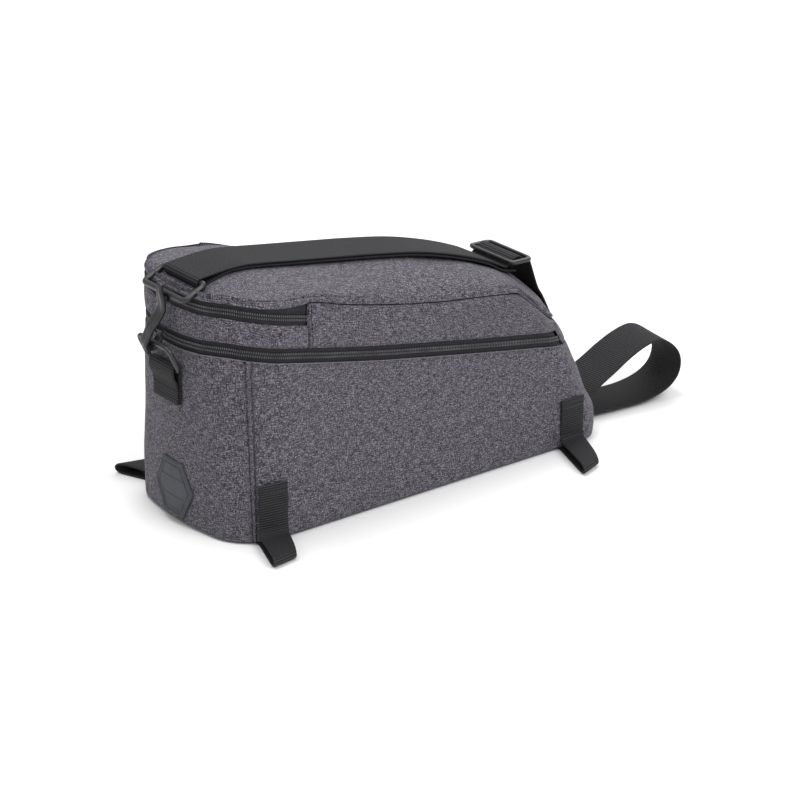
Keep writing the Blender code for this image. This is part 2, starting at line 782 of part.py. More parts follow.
def rear_tab(group):
    """Webbing sewn to the rear panel and folded round the ring's lower bar."""
    t = WEB_THICK
    skin = -REAR_BULGE - GAP - t / 2
    bar = RING_WIRE / 2 + GAP + t / 2
    x0 = skin
    ring_x = skin - bar
    foot = 0.500 * BODY_HEIGHT
    top = 0.636 * BODY_HEIGHT
    outer = ring_x - bar
    route = [(x0, foot), (x0, foot + 0.010), (x0, top - 0.006), (x0, top)]
    route += [(ring_x + bar * math.cos(a), top + bar * math.sin(a))
              for a in np.radians([30, 60, 90, 120, 150, 180])]
    route += [(outer + 0.0004, top - 0.006), (x0 - t * 1.6, top - 0.0125),
              (x0 - t - GAP, foot + 0.010), (x0 - t - GAP, foot)]
    path = smooth([(a, 0.0, b) for a, b in route])
    path[:, 1] = 0.003
    return ribbon(group, "rear_tab", path, (0.0, TAB_WIDTH / 2, 0.0), t)


def ring_places():
    """Corners of the rear ring: its lower bar in the tab and its upper bar in the hook."""
    bar = RING_WIRE / 2 + GAP + WEB_THICK / 2
    x = -REAR_BULGE - GAP - WEB_THICK / 2 - bar
    z = 0.636 * BODY_HEIGHT
    half = TAB_WIDTH / 2 + 0.0045
    low = np.array([x, 0.003, z])
    high = low + np.array([-0.42 * RING_RISE, 0.003, RING_RISE])
    across = np.array([0.0, half, 0.0])
    return low, high, across


def rear_ring(group):
    """Plastic ring through the tab."""
    low, high, across = ring_places()
    points = [low - across, low + across, high + across, high - across]
    return rod(group, "rear_ring", points, RING_WIRE, True, 0.005)


def eye_places():
    """The hook's eye: its upper bar inside the strap's fold, its lower bar over the rear end."""
    top = np.array([FOLD_X * BODY_LENGTH, 0.0, FOLD_Z * BODY_HEIGHT])
    low = np.array([-REAR_BULGE - EYE_WIRE / 2 - EYE_OFF, -0.001, top[2] - EYE_DROP])
    across = np.array([0.0, EYE_WIDTH / 2 - EYE_WIRE / 2, 0.0])
    return top, low, across


def hook_eye(group):
    """Wide eye of the swivel hook."""
    top, low, across = eye_places()
    points = [top - across, top + across, low + across, low - across]
    return rod(group, "hook_eye", points, EYE_WIRE, True, 0.0034)


def hook_frame():
    """Start of the hook's body, its direction down the rear end and its width's direction."""
    top, low, across = eye_places()
    lean = HOOK_WIDTH * 0.36 + HOOK_THICK * 0.25
    start = low + np.array([-0.0005, -0.003, -EYE_WIRE / 2 - GAP - SWIVEL_LENGTH - GAP - lean])
    ring_low, ring_high, _ = ring_places()
    aim = ring_high + np.array([0.0, 0.003, 0.0])
    down = unit(aim - start)
    wide = unit(np.cross(down, np.array([1.0, 0.0, 0.0])))
    front = unit(np.cross(wide, down))
    if front[0] > 0:
        front = -front
    return start, down, wide, front, aim


def claw_bend():
    """Radius of the claw's middle line round the ring's bar."""
    return RING_WIRE / 2 + CLAW_ROOM + HOOK_THICK * 0.4


def hook_swivel(group):
    """Round neck that the hook turns on, between the eye and the hook's body."""
    top, low, across = eye_places()
    first = low + np.array([-0.0003, -0.002, -EYE_WIRE / 2 - GAP])
    last = first + np.array([0.0, -0.0004, -SWIVEL_LENGTH])
    return rod(group, "hook_swivel", [first, last], SWIVEL_WIDTH)


def hook(group):
    """Body of the swivel hook: a straight shank and a round claw under the ring's bar."""
    start, down, wide, front, middle = hook_frame()
    bend = claw_bend()
    run = float(np.linalg.norm(middle - start))
    shank = middle + front * bend
    pts = [start, start + front * bend * 0.35 + down * run * 0.16, shank - down * run * 0.45,
           shank - down * run * 0.2, shank]
    for a in np.radians([30, 60, 90, 120, 150]):
        pts.append(middle + front * bend * math.cos(a) + down * bend * math.sin(a))
    pts.append(middle - front * bend)
    pts.append(middle - front * bend - down * CLAW_TIP)
    path = smooth(pts)
    side = np.broadcast_to(wide * HOOK_WIDTH / 2, path.shape)
    obj = ribbon(group, "swivel_hook", path, side, HOOK_THICK * 0.8, PLASTIC, 0.4)
    return obj


def gate(group):
    """Springy tongue that closes the hook, beside its shank."""
    start, down, wide, front, middle = hook_frame()
    bend = claw_bend()
    run = float(np.linalg.norm(middle - start))
    tip = middle - front * bend - down * (CLAW_TIP + GAP * 2)
    inside = bend - HOOK_THICK * 0.4 - GAP * 2 - GATE_THICK / 2
    root = middle + front * inside - down * GATE_RISE
    path = smooth([tip, tip - down * GATE_RISE * 0.35 + front * bend * 0.12,
                   (tip + root) / 2 - down * GATE_RISE * 0.18, root])
    side = np.broadcast_to(wide * GATE_WIDTH / 2, path.shape)
    return ribbon(group, "hook_gate", path, side, GATE_THICK, PLASTIC, 0.4)


def label(group):
    """Plain six-sided label, bent to the rear panel."""
    columns = np.array([-1.0, -0.75, -0.5, -0.25, 0.0, 0.25, 0.5, 0.75, 1.0])
    points = []
    for layer in (0, 1):
        for c in columns:
            y = c * LABEL_SIDE
            tall = LABEL_SIDE * math.sqrt(3) / 2 * min(1.0, 2.0 * (1.0 - abs(c)) + 0.03)
            x = rear_x(y, LABEL_CENTRE) - GAP * 1.6 - LABEL_THICK * layer
            points.append((x, y, LABEL_CENTRE - tall))
            points.append((x, y, LABEL_CENTRE + tall))
    n = len(columns)
    faces = []
    for i in range(n - 1):
        a, b, c, d = 2 * i, 2 * i + 2, 2 * i + 3, 2 * i + 1
        m = 2 * n
        faces.append((a, b, c, d))
        faces.append((m + d, m + c, m + b, m + a))
        faces.append((a, m + a, m + b, b))
        faces.append((d, c, m + c, m + d))
    m = 2 * n
    faces.append((0, 1, m + 1, m))
    faces.append((m - 2, 2 * m - 2, 2 * m - 1, m - 1))
    obj = add_mesh(group, "label", points, faces, LABEL_GREY, 0.7)
    turn_outward(obj)
    return obj


def zip_slider(group, name, rim, reach):
    """Plain slider and hanging pull at the zip's far end."""
    x = SLIDER_PLACE * reach
    z = float(rim(np.array([x]))[0]) + ZIP_WIDTH / 2
    y = -side_y(x, z) + ZIP_PROUD + GAP * 2 + SLIDER_THICK / 2
    boxes = [((x, y, z), (SLIDER_LENGTH, SLIDER_THICK, SLIDER_WIDTH)),
             ((x, y + SLIDER_THICK / 2, z - PULL_LENGTH / 2), (PULL_WIDTH, PULL_THICK, PULL_LENGTH))]
    return join_boxes(group, name, boxes)


def centre_on_floor(group):
    """Move all pieces so that the origin is under the middle of the bag, on the floor."""
    bpy.context.view_layer.update()
    corners = [obj.matrix_world @ Vector(c) for obj in group.objects for c in obj.bound_box]
    low = np.min(corners, axis=0)
    high = np.max(corners, axis=0)
    middle = (low + high) / 2
    shift = Matrix.Translation((-middle[0], -middle[1], -low[2]))
    for obj in bpy.data.objects:
        obj.data.transform(shift)


def main():
    """Build every piece of the bag."""
    group = start_collection("trunk_bag")
    tub(group)
    base(group)
    zip_band(group, "lower_zip", body_rim, ZIP_REACH, body_rim)
    middle_band(group)
    zip_band(group, "upper_zip", pocket_rim, POCKET_REACH, seam_rim)
    lid(group)
    label(group)
    for name in LOOPS:
        bottom_loop(group, name)
    handle_loop(group)
    strap(group)
    adjuster(group)
    rear_tab(group)
    rear_ring(group)
    hook_eye(group)
    hook_swivel(group)
    hook(group)
    gate(group)
    zip_slider(group, "lower_zip_slider", body_rim, ZIP_REACH)
    zip_slider(group, "upper_zip_slider", pocket_rim, POCKET_REACH)
    centre_on_floor(group)


main()
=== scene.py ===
import math

import bpy
import numpy as np
from bpy.props import FloatProperty, FloatVectorProperty, PointerProperty
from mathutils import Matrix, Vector


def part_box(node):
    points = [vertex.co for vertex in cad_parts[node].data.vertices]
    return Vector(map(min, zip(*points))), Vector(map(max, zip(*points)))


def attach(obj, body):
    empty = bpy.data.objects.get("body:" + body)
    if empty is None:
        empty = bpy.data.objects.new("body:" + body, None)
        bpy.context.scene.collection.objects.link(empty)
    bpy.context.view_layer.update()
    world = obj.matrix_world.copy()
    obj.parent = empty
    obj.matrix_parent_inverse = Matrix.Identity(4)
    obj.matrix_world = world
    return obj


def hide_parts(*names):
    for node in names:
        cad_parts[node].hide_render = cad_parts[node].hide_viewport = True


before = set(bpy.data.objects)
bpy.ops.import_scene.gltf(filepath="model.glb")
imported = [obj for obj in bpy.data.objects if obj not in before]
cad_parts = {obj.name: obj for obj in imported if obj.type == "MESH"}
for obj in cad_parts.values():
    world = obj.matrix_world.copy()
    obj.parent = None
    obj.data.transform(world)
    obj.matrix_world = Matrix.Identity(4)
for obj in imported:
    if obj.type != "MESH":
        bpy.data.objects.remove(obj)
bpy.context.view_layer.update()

bl_info = {
    "name": "Bicycle Trunk Bag",
    "version": (1, 0, 0),
    "blender": (4, 5, 0),
    "location": "3D View > Sidebar > Trunk Bag",
    "description": "Dresses the trunk bag in heather cloth, zips, webbing and plastic hardware",
    "category": "Object",
}

# The bag is drawn from its rear panel forwards. This is where the frame's origin lies there.
ORIGIN = np.array([0.241528, -0.005294, 0.000200])

BODY_LENGTH = 0.389
BODY_HEIGHT = 0.2155
REAR_WIDTH = 0.1664
NOSE_WIDTH = 0.1200
REAR_BULGE = 0.011
NOSE_BULGE = 0.0045
SHELL = 0.003
GAP = 0.0004
ZIP_WIDTH = 0.0115
ZIP_REACH = 0.342
SLIDER_PLACE = 0.80
POCKET_REACH = 0.066
STRAP_WIDTH = 0.050
TAB_WIDTH = 0.037
LOOP_WIDTH = 0.026
WEB_THICK = 0.0018
LABEL_SIDE = 0.0278
LABEL_CENTRE = 0.0315
SLIDE_X = 0.823
SLIDE_Z = 0.775
SLIDE_LENGTH = 0.024
SLIDE_THICK = 0.0036
FOLD_X = 0.008
FOLD_Z = 0.975
EYE_WIDTH = 0.066
EYE_OFF = 0.0038
EYE_DROP = 0.0095
EYE_WIRE = 0.0050
RING_WIRE = 0.0042
RING_RISE = 0.0205
HOOK_WIDTH = 0.0100
HOOK_THICK = 0.0050
SWIVEL_LENGTH = 0.0042
CLAW_ROOM = 0.0024
CLAW_TIP = 0.0050
GATE_RISE = 0.0150
TAB_FOOT = 0.500
TAB_TOP = 0.636
TAB_Y = 0.003
HANDLE_REACH = 0.1160
HANDLE_RISE = 0.0595

# finer measures that the solids leave out
ROLL = 0.0011
ROLL_DEPTH = 0.006
CORNER_SEAM = 0.0145
BINDING = 0.0052
ZIP_DEPTH = 0.0013
TOOTH_PITCH = 0.0018
TOOTH = (0.0024, 0.00085, 0.0012)
TOOTH_LIFT = 0.0015
EDGE_HIGHLIGHT_WIRE = 0.0009
EDGE_HIGHLIGHT_LIFT = 0.0008
THREAD = 0.00055
THREAD_LIFT = 0.00012
LABEL_THICK = 0.0014
LABEL_MARK = 0.0008
PULL_LENGTH = 0.0195
CLOTH_STITCH = (0.0034, 0.0024)
WEB_STITCH = (0.0027, 0.0021)
HALF_GIRTH = 0.461

# height, place beside the seam and half width of its ridge and its two valleys
SEAM_PROFILE = ((0.0009, 0.0, 0.0013), (-0.0018, -0.0021, 0.0007), (-0.0015, 0.0021, 0.0007))

# height / BODY_HEIGHT, radius at the rear corner, radius at the nose corner
CORNER_ROWS = (
    (0.0, 0.031, 0.021), (0.72, 0.046, 0.033), (2.0, 0.046, 0.033),
)

# height / BODY_HEIGHT, front / BODY_LENGTH
NOSE_ROWS = (
    (0.0, 0.995), (0.06, 1.0), (0.12, 0.997), (0.209, 0.97), (0.306, 0.95), (0.413, 0.926),
    (0.478, 0.908), (0.552, 0.88), (0.626, 0.846), (0.7, 0.805), (1.0, 0.74),
)

# x / BODY_LENGTH, height / BODY_HEIGHT
BODY_RIM_ROWS = (
    (-0.03, 0.714), (-0.022, 0.725), (-0.012, 0.732), (0.004, 0.733), (0.03, 0.727),
    (0.063, 0.7175), (0.087, 0.71), (0.117, 0.701), (0.152, 0.687), (0.23, 0.6555), (0.36, 0.606),
    (0.525, 0.551), (0.69, 0.498), (0.88, 0.44), (1.0, 0.402),
)
POCKET_ROWS = (
    (-0.03, 0.876), (-0.015, 0.8825), (0.003, 0.885), (0.03, 0.8775), (0.064, 0.8665),
    (0.087, 0.859), (0.118, 0.848), (0.152, 0.8335), (0.17, 0.8255), (1.0, 0.4),
)
SEAM_ROWS = (
    (-0.03, 0.933), (-0.015, 0.939), (0.005, 0.944), (0.17, 0.9125), (0.283, 0.857),
    (0.442, 0.792), (0.551, 0.757), (0.663, 0.7285), (0.762, 0.7), (0.786, 0.686), (0.812, 0.636),
    (0.84, 0.585), (0.865, 0.55), (0.9, 0.52), (1.0, 0.505),
)
CREST_ROWS = (
    (0.0, 0.975), (0.075, 0.988), (0.11, 0.986), (0.185, 0.97), (0.285, 0.948), (0.388, 0.924),
    (0.519, 0.8915), (0.612, 0.852), (0.66, 0.8265), (0.746, 0.768), (0.8, 0.723), (0.86, 0.66),
)

# step, share inward, share upward on the sides, at the rear end and at the nose
CROWN_ROWS = (
    (0, 0.0, 0.0, 0.0, 0.0), (1, 0.003, 0.16, 0.08, 0.05), (2, 0.06, 0.35, 0.15, 0.15),
    (3, 0.18, 0.56, 0.27, 0.4), (4, 0.33, 0.74, 0.46, 0.58), (5, 0.5, 0.87, 0.7, 0.74),
    (6, 0.68, 0.95, 0.88, 0.87), (7, 0.85, 0.99, 0.97, 0.96), (8, 0.96, 1.0, 1.0, 1.0),
)
CREST_START = 0.105
CREST_END = 0.790
REAR_FLAT = 0.200
NOSE_STEEP = 0.780

# place along the bag, height of the sewn end, reach, slant, run under the base, side
LOOPS = {
    "loop_rear_near": (0.0290, 0.0525, 0.0415, -0.0165, 0.014, -1),
    "loop_rear_far": (0.0290, 0.0525, 0.0310, -0.0150, 0.014, 1),
    "loop_nose_near": (0.3525, 0.0460, 0.0545, -0.0215, 0.014, -1),
    "loop_nose_far": (0.3525, 0.0460, 0.0360, -0.0120, 0.014, 1),
}

# routes of the webs: shares of the body's length and height down the nose, shares of the
# tail loop's reach and rise, and places along the strap's run over the lid
NOSE_ROUTE = (
    (0.878, 0.646), (0.893, 0.6), (0.908, 0.545), (0.921, 0.49), (0.94, 0.42), (0.962, 0.35),
    (0.982, 0.285), (0.999, 0.23), (1.0085, 0.19), (1.0115, 0.16),
)
TAIL_ROUTE = (
    (-0.009, 0.261), (0.058, 0.362), (0.164, 0.507), (0.323, 0.674), (0.479, 0.841),
    (0.634, 0.964), (0.772, 1.0), (0.893, 0.891), (0.979, 0.71), (1.0, 0.507), (0.953, 0.312),
    (0.832, 0.167), (0.65, 0.094), (0.427, 0.091), (0.216, 0.109), (0.05, 0.145), (-0.009, 0.156),
)
STRAP_PLACES = np.array([0.070, 0.110, 0.150, 0.230, 0.340, 0.450, 0.560, 0.660, 0.740])

# turn and rise of the camera in degrees, and the point that it looks at
CAMERA_TURN = 35.695
CAMERA_RISE = 21.237
CAMERA_AIM = np.array([0.2146, 0.0, 0.0552])
LAMP_AIM = (0.0, 0.0, 0.08)
SKY_LIGHT = 0.62
FLOOR_REACH = 12.0

# name, place, size and power
LAMPS = (("key", (0.2, -1.9, 1.9), 1.5, 40.0), ("fill", (-1.9, -0.5, 1.2), 1.4, 5.5),
         ("rim", (1.3, 1.2, 1.7), 1.4, 14.0), ("top", (-0.3, 0.3, 2.3), 1.2, 26.0))

# share of the half outline at the end of the rear panel, rear corner, side and nose corner
STRETCHES = (0.085, 0.235, 0.825, 0.935)


def unit(v):
    """Vectors of length one."""
    v = np.asarray(v, float)
    return v / np.maximum(np.linalg.norm(v, axis=-1, keepdims=True), 1e-12)


def ease(share):
    """A share from 0 to 1 that starts and ends level."""
    return share * share * (3 - 2 * share)


def lengths(path):
    """Length of a path up to each of its points."""
    return np.concatenate([[0], np.cumsum(np.linalg.norm(np.diff(path, axis=0), axis=1))])


def bump(value, width, power=2):
    """A smooth hill of height 1 round zero."""
    return np.exp(-(value / width) ** power)


def square_to(v, along):
    """What is left of v without its share along a direction."""
    return v - along * np.sum(v * along, 1, keepdims=True)


def columns(*values):
    """Numbers and rows of numbers set side by side as points."""
    return np.stack(np.broadcast_arrays(*values), -1)


def follow(rows, value, column=1):
    """A table read as a smooth curve: cubic pieces whose slopes are the harmonic means of
    their neighbours', so that the curve never swings past its points."""
    table = np.asarray(rows, float)
    x = table[:, 0]
    y = table[:, column]
    step = np.diff(x)
    slope = np.diff(y) / step
    same = slope[:-1] * slope[1:] > 0
    mean = np.where(same, 2 * slope[:-1] * slope[1:] / np.where(same, slope[:-1] + slope[1:], 1), 0)
    tangent = np.concatenate([slope[:1], mean, slope[-1:]])
    v = np.clip(value, x[0], x[-1])
    k = np.clip(np.searchsorted(x, v, side="right") - 1, 0, len(step) - 1)
    t = (v - x[k]) / step[k]
    return (y[k] * (1 + 2 * t) * (1 - t) ** 2 + step[k] * tangent[k] * t * (1 - t) ** 2
            + y[k + 1] * t * t * (3 - 2 * t) + step[k] * tangent[k + 1] * t * t * (t - 1))


def height_from(rows):
    """Height at a place along the bag, from a table of shares."""
    return lambda x: BODY_HEIGHT * follow(rows, x / BODY_LENGTH)


# the lower body's top edge, the cloth edge under the upper zip, the lid's seam and its crest
body_rim, pocket_rim, seam_rim, crest = (
    height_from(rows) for rows in (BODY_RIM_ROWS, POCKET_ROWS, SEAM_ROWS, CREST_ROWS))


def outline(turn, height, inset=0.0):
    """The bag's plan outline. turn runs from 0 at the rear centre over the near side to 1 at
    the nose centre and back over the far side to 2. Each half is a flat rear, a quarter
    circle, a straight side, a smaller quarter circle and a flat nose; both ends bow out."""
    turn, height = np.broadcast_arrays(np.asarray(turn, float), np.asarray(height, float))
    t = np.where(turn <= 1, turn, 2 - turn)
    side = np.where(turn <= 1, -1.0, 1.0)
    a, b, c, d = STRETCHES
    share = height / BODY_HEIGHT
    r = np.interp(share, *np.array(CORNER_ROWS)[:, [0, 1]].T) - inset
    rn = np.interp(share, *np.array(CORNER_ROWS)[:, [0, 2]].T) - inset
    front = BODY_LENGTH * follow(NOSE_ROWS, share) - inset
    half = REAR_WIDTH / 2 - inset
    nose_half = NOSE_WIDTH / 2 - inset
    first = np.clip(t / a, 0, 1)
    angle = np.clip((t - a) / (b - a), 0, 1) * math.pi / 2
    along = np.clip((t - b) / (c - b), 0, 1)
    bend = np.clip((t - c) / (d - c), 0, 1) * math.pi / 2
    last = np.clip((t - d) / (1 - d), 0, 1)
    x = inset + r * (1 - np.cos(angle)) + along * (front - rn - r - inset) + rn * np.sin(bend)
    y = (first * (half - r) + r * np.sin(angle) + along * (nose_half - half)
         + rn * (np.cos(bend) - 1) - last * (nose_half - rn))
    bow = np.cos(np.clip(y / half, -1, 1) * math.pi / 2) ** 1.2
    x = x - REAR_BULGE * bow * np.clip(1 - (x - inset) / (1.4 * r), 0, 1)
    bow = np.cos(np.clip(y / nose_half, -1, 1) * math.pi / 2)
    x = x + NOSE_BULGE * bow * np.clip(1 - (front - x) / (1.2 * rn), 0, 1)
    return x, y * side


def wall(turn, share, low, high):
    """Points of the leaning wall: share 0 lies on the edge low(x) and share 1 on high(x)."""
    z = np.broadcast_to(np.asarray(BODY_HEIGHT * 0.5), np.broadcast(turn, share).shape)
    for _ in range(14):
        x, y = outline(turn, z)
        z = 0.5 * z + 0.5 * (low(x) + (high(x) - low(x)) * share)
    x, y = outline(turn, z)
    return np.stack([x, y, z], -1)


def normals(points, around):
    """Outward directions of a grid: the cross product of its two runs of differences."""
    if around:
        du = np.roll(points, -1, 1) - np.roll(points, 1, 1)
    else:
        du = np.gradient(points, axis=1)
    dv = np.gradient(points, axis=0)
    return unit(np.cross(du, dv))


def ripple(a, b, size, seed):
    """Soft unevenness between -1 and 1: nine sine waves of seeded directions and phases."""
    dice = np.random.default_rng(seed)
    total = 0.0
    for _ in range(9):
        way = dice.uniform(0, 2 * math.pi)
        length = size * dice.uniform(0.6, 1.7)
        total = total + np.sin(2 * math.pi * (a * math.cos(way) + b * math.sin(way)) / length
                               + dice.uniform(0, 6.28))
    return total / 5.0


def lip(edge, out, up, radius, depth):
    """A rolled cloth edge: half a circle over the edge and a short run back inside."""
    rise = np.array([0.0, 0.0, up])
    rows = []
    for angle in np.radians([25, 55, 90, 125, 155, 180]):
        rows.append(edge + rise * radius * math.sin(angle) - out * radius * (1 - math.cos(angle)))
    rows.append(rows[-1] - rise * depth)
    return np.stack(rows)


def flat(v):
    """Directions with no upward share."""
    v = v.copy()
    v[..., 2] = 0
    return unit(v)


def add_piece(name, points, faces, uv, finish, nodes=()):
    """Make one object from points and faces in the drawing's axes, put it in the frame's
    axes, hang it from the root body, and hide the nodes that it stands for."""
    mesh = bpy.data.meshes.new(name)
    mesh.from_pydata((points - ORIGIN).tolist(), [], faces.tolist())
    layer = mesh.uv_layers.new(name="cloth")
    layer.uv.foreach_set("vector", uv.astype(np.float32).ravel())
    mesh.polygons.foreach_set("use_smooth", np.full(len(mesh.polygons), True))
    mesh.materials.append(finishes()[finish])
    mesh.update()
    obj = bpy.data.objects.new(name, mesh)
    bpy.context.scene.collection.objects.link(obj)
    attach(obj, "root")
    if nodes:
        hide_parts(*nodes)
    return obj


def grid_faces(rows, cols, around):
    """Quads of a grid, and for each corner its row and column, with the seam's last column
    counted on."""
    i, j = np.meshgrid(np.arange(rows - 1), np.arange(cols if around else cols - 1),
                       indexing="ij")
    i = i.ravel()
    j = j.ravel()
    r = np.stack([i, i, i + 1, i + 1], 1)
    c = np.stack([j, j + 1, j + 1, j], 1)
    return r * cols + c % cols, r, c


def end_quads(start, cols):
    """Quads that close a ring of points, each from one side of it to the other."""
    k = np.arange(cols // 2 - 1)
    return start + np.stack([k, k + 1, cols - 2 - k, cols - 1 - k], 1)


def grid_piece(name, points, finish, nodes=(), around=False, capped=False):
    """A piece from a grid of points, with its map in millimetres along and across. Capped, its
    last row is closed by quads from one side to the other."""
    rows, cols = points.shape[:2]
    faces, r, c = grid_faces(rows, cols, around)
    closed = np.concatenate([points, points[:, :1]], 1) if around else points
    along = lengths(closed[rows // 2])
    rise = np.cumsum(np.linalg.norm(np.diff(closed, axis=0), axis=2), axis=0)
    across = np.concatenate([0 * rise[:1], rise])
    uv = np.stack([along[c], across[r, c]], -1) * 1000
    points = points.reshape(-1, 3)
    if capped:
        k = np.arange(1, cols // 2 - 1)
        cap = (rows - 1) * cols + np.stack([k, k + 1, cols - k - 1, cols - k], 1)
        faces = np.concatenate([faces, cap])
        uv = np.concatenate([uv, points[cap][..., :2] * 1000])
    return add_piece(name, points, faces, uv, finish, nodes)


def even_path(path, spacing, other=None):
    """The same path with points at even steps. With other, those directions at the same
    steps too."""
    length = lengths(path)
    at = np.linspace(0, length[-1], max(int(length[-1] / spacing), 2) + 1)
    even = [np.stack([np.interp(at, length, v[:, k]) for k in range(3)], 1)
            for v in (path, other) if v is not None]
    return even if other is not None else even[0]


def curve(points, spacing, count=16):
    """A Catmull-Rom curve through the points, worked out in count steps to the span and then
    put at even steps."""
    p = np.asarray(points, float)
    ends = np.concatenate([[2 * p[0] - p[1]], p, [2 * p[-1] - p[-2]]])
    t = np.linspace(0, 1, count, endpoint=False)[None, :, None]
    p0, p1, p2, p3 = (ends[k:len(ends) - 3 + k, None, :] for k in range(4))
    path = 0.5 * (2 * p1 + (p2 - p0) * t + (2 * p0 - 5 * p1 + 4 * p2 - p3) * t * t
                  + (3 * p1 - p0 - 3 * p2 + p3) * t ** 3)
    return even_path(np.concatenate([path.reshape(-1, 3), p[-1:]]), spacing)


def carry(name, path, side, section, finish, nodes=(), closed=False, ends=0.6,
          square=True):
    """A profile carried along a path. section holds rows of (share of side, height out), side
    is half the width as a vector, and out is side crossed with the path. The ends of an open
    piece are closed by three shrinking profiles."""
    if closed:
        along = unit(np.roll(path, -1, 0) - np.roll(path, 1, 0))
    else:
        along = unit(np.gradient(path, axis=0))
    side = np.broadcast_to(np.asarray(side, float), path.shape)
    if square:
        side = square_to(side, along)
    out = unit(np.cross(side, along))
    w, h = section.T
    rings = path[:, None] + side[:, None] * w[None, :, None] + out[:, None] * h[None, :, None]
    if not closed:
        thick = np.ptp(h) / 2 * ends
        caps = []
        for k, way in ((0, -1.0), (-1, 1.0)):
            centre = path[k] + out[k] * (h.max() + h.min()) / 2
            full = rings[k] - centre
            wide = side[k] / np.linalg.norm(side[k])
            across = full @ wide
            core = (np.sign(across) * np.maximum(np.abs(across) - thick, 0))[:, None] * wide
            caps.append([centre + core + (full - core) * math.cos(a)
                         + along[k] * way * thick * math.sin(a)
                         for a in np.radians([35, 65, 89.5])])
        rings = np.concatenate([caps[0][::-1], rings, caps[1]])
    rows, cols = rings.shape[:2]
    length = lengths(rings.mean(1))
    if closed:
        length = np.append(length, length[-1] + np.linalg.norm(rings[0] - rings[-1], axis=1).mean())
    faces, r, c = grid_faces(rows + closed, cols, True)
    across = np.append(w, w[0]) * float(np.linalg.norm(side[0]))
    faces = (faces % (rows * cols))[:, ::-1]
    uv = (np.stack([length[r], across[c]], -1) * 1000)[:, ::-1]
    if not closed:
        lids = [end_quads(0, cols), end_quads((rows - 1) * cols, cols)[:, ::-1]]
        faces = np.concatenate([faces, *lids])
        uv = np.concatenate([uv, np.zeros((2 * len(lids[0]), 4, 2)) + uv[0, 0]])
    return add_piece(name, rings.reshape(-1, 3), faces, uv, finish, nodes)


def web(name, path, side, width, node=None, square=True):
    """Webbing along a route. Its profile has two flat faces and two rounded edges."""
    edge = WEB_THICK / width
    turn = np.radians([60, 30, 0, -30, -60])
    right = columns(1 - edge + edge * np.cos(turn), np.sin(turn) * WEB_THICK / 2)
    top = columns(np.linspace(-1 + edge, 1 - edge, 9), WEB_THICK / 2)
    carry(name + "_web", path, side, np.concatenate([top, right, -top, -right]), "web",
          (node or name,), square=square)


def round_section(thick, power=2.0, count=20):
    """Profile of a moulded bar: an oval, squarer as the power grows."""
    a = np.linspace(0, 2 * math.pi, count, endpoint=False)[::-1] + math.pi / count
    w = np.sign(np.cos(a)) * np.abs(np.cos(a)) ** (2 / power)
    h = np.sign(np.sin(a)) * np.abs(np.sin(a)) ** (2 / power) * thick / 2
    return np.stack([w, h], 1)


def bean(length, width, height, rows=5, cols=6):
    """A small rounded grain: an oval whose ends close. Points and quads."""
    s = np.linspace(0.06, 0.94, rows)
    wide = np.sin(s * math.pi)[:, None] ** 0.5
    a = np.linspace(0, 2 * math.pi, cols, endpoint=False)[None]
    x = np.repeat((s - 0.5) * length, cols)
    y = (wide * np.cos(a) * width / 2).ravel()
    z = (wide * np.sin(a) * height / 2).ravel()
    faces = grid_faces(rows, cols, True)[0][:, ::-1]
    ends = [end_quads(0, cols), end_quads((rows - 1) * cols, cols)[:, ::-1]]
    return np.stack([x, y, z], 1), np.concatenate([faces, *ends])


def grains(name, grain, path, out, pitch, lift, finish, crosswise=False):
    """Copies of one grain at even steps along a path, as one piece, lifted out of it. They
    lie along the path, or across it."""
    shape, faces = grain
    centre, face = even_path(path, pitch, out)
    along = unit(np.gradient(centre, axis=0))
    face = unit(square_to(unit(face), along))
    if crosswise:
        along = np.cross(face, along)
    axes = np.stack([along, np.cross(face, along), face], 1)
    points = (centre + face * lift)[:, None] + np.einsum("pk,nkd->npd", shape, axes)
    index = faces[None] + (np.arange(len(centre)) * len(shape))[:, None, None]
    uv = np.tile(shape[faces][..., :2] * 1000, (len(centre), 1, 1))
    return add_piece(name, points.reshape(-1, 3), index.reshape(-1, 4), uv, finish, ())


def sew(name, path, out, stitch=CLOTH_STITCH):
    """A row of stitches, half sunk in the cloth."""
    pitch, length = stitch
    return grains(name, bean(length, THREAD, THREAD, 4), path, out, pitch, THREAD_LIFT,
                  "thread")


class Value:
    """A number that varies over a surface. Used in an expression, it adds its Math nodes."""

    def __init__(self, finish, socket):
        self.finish = finish
        self.socket = socket

    def math(self, operation, first, second=0.0):
        node = self.finish.node("Math", {"operation": operation}, {0: first, 1: second})
        return Value(self.finish, node.outputs[0])

    def __add__(self, other):
        return self.math("ADD", self, other)

    def __radd__(self, other):
        return self.math("ADD", other, self)

    def __sub__(self, other):
        return self.math("SUBTRACT", self, other)

    def __rsub__(self, other):
        return self.math("SUBTRACT", other, self)

    def __mul__(self, other):
        return self.math("MULTIPLY", self, other)

    def __rmul__(self, other):
        return self.math("MULTIPLY", other, self)

    def sine(self):
        return self.math("SINE", self)

    def ramp(self, low, high):
        """0 below low, 1 above high, and a straight run between."""
        node = self.finish.node("MapRange", {"clamp": True}, {0: self, 1: low, 2: high})
        return Value(self.finish, node.outputs[0])


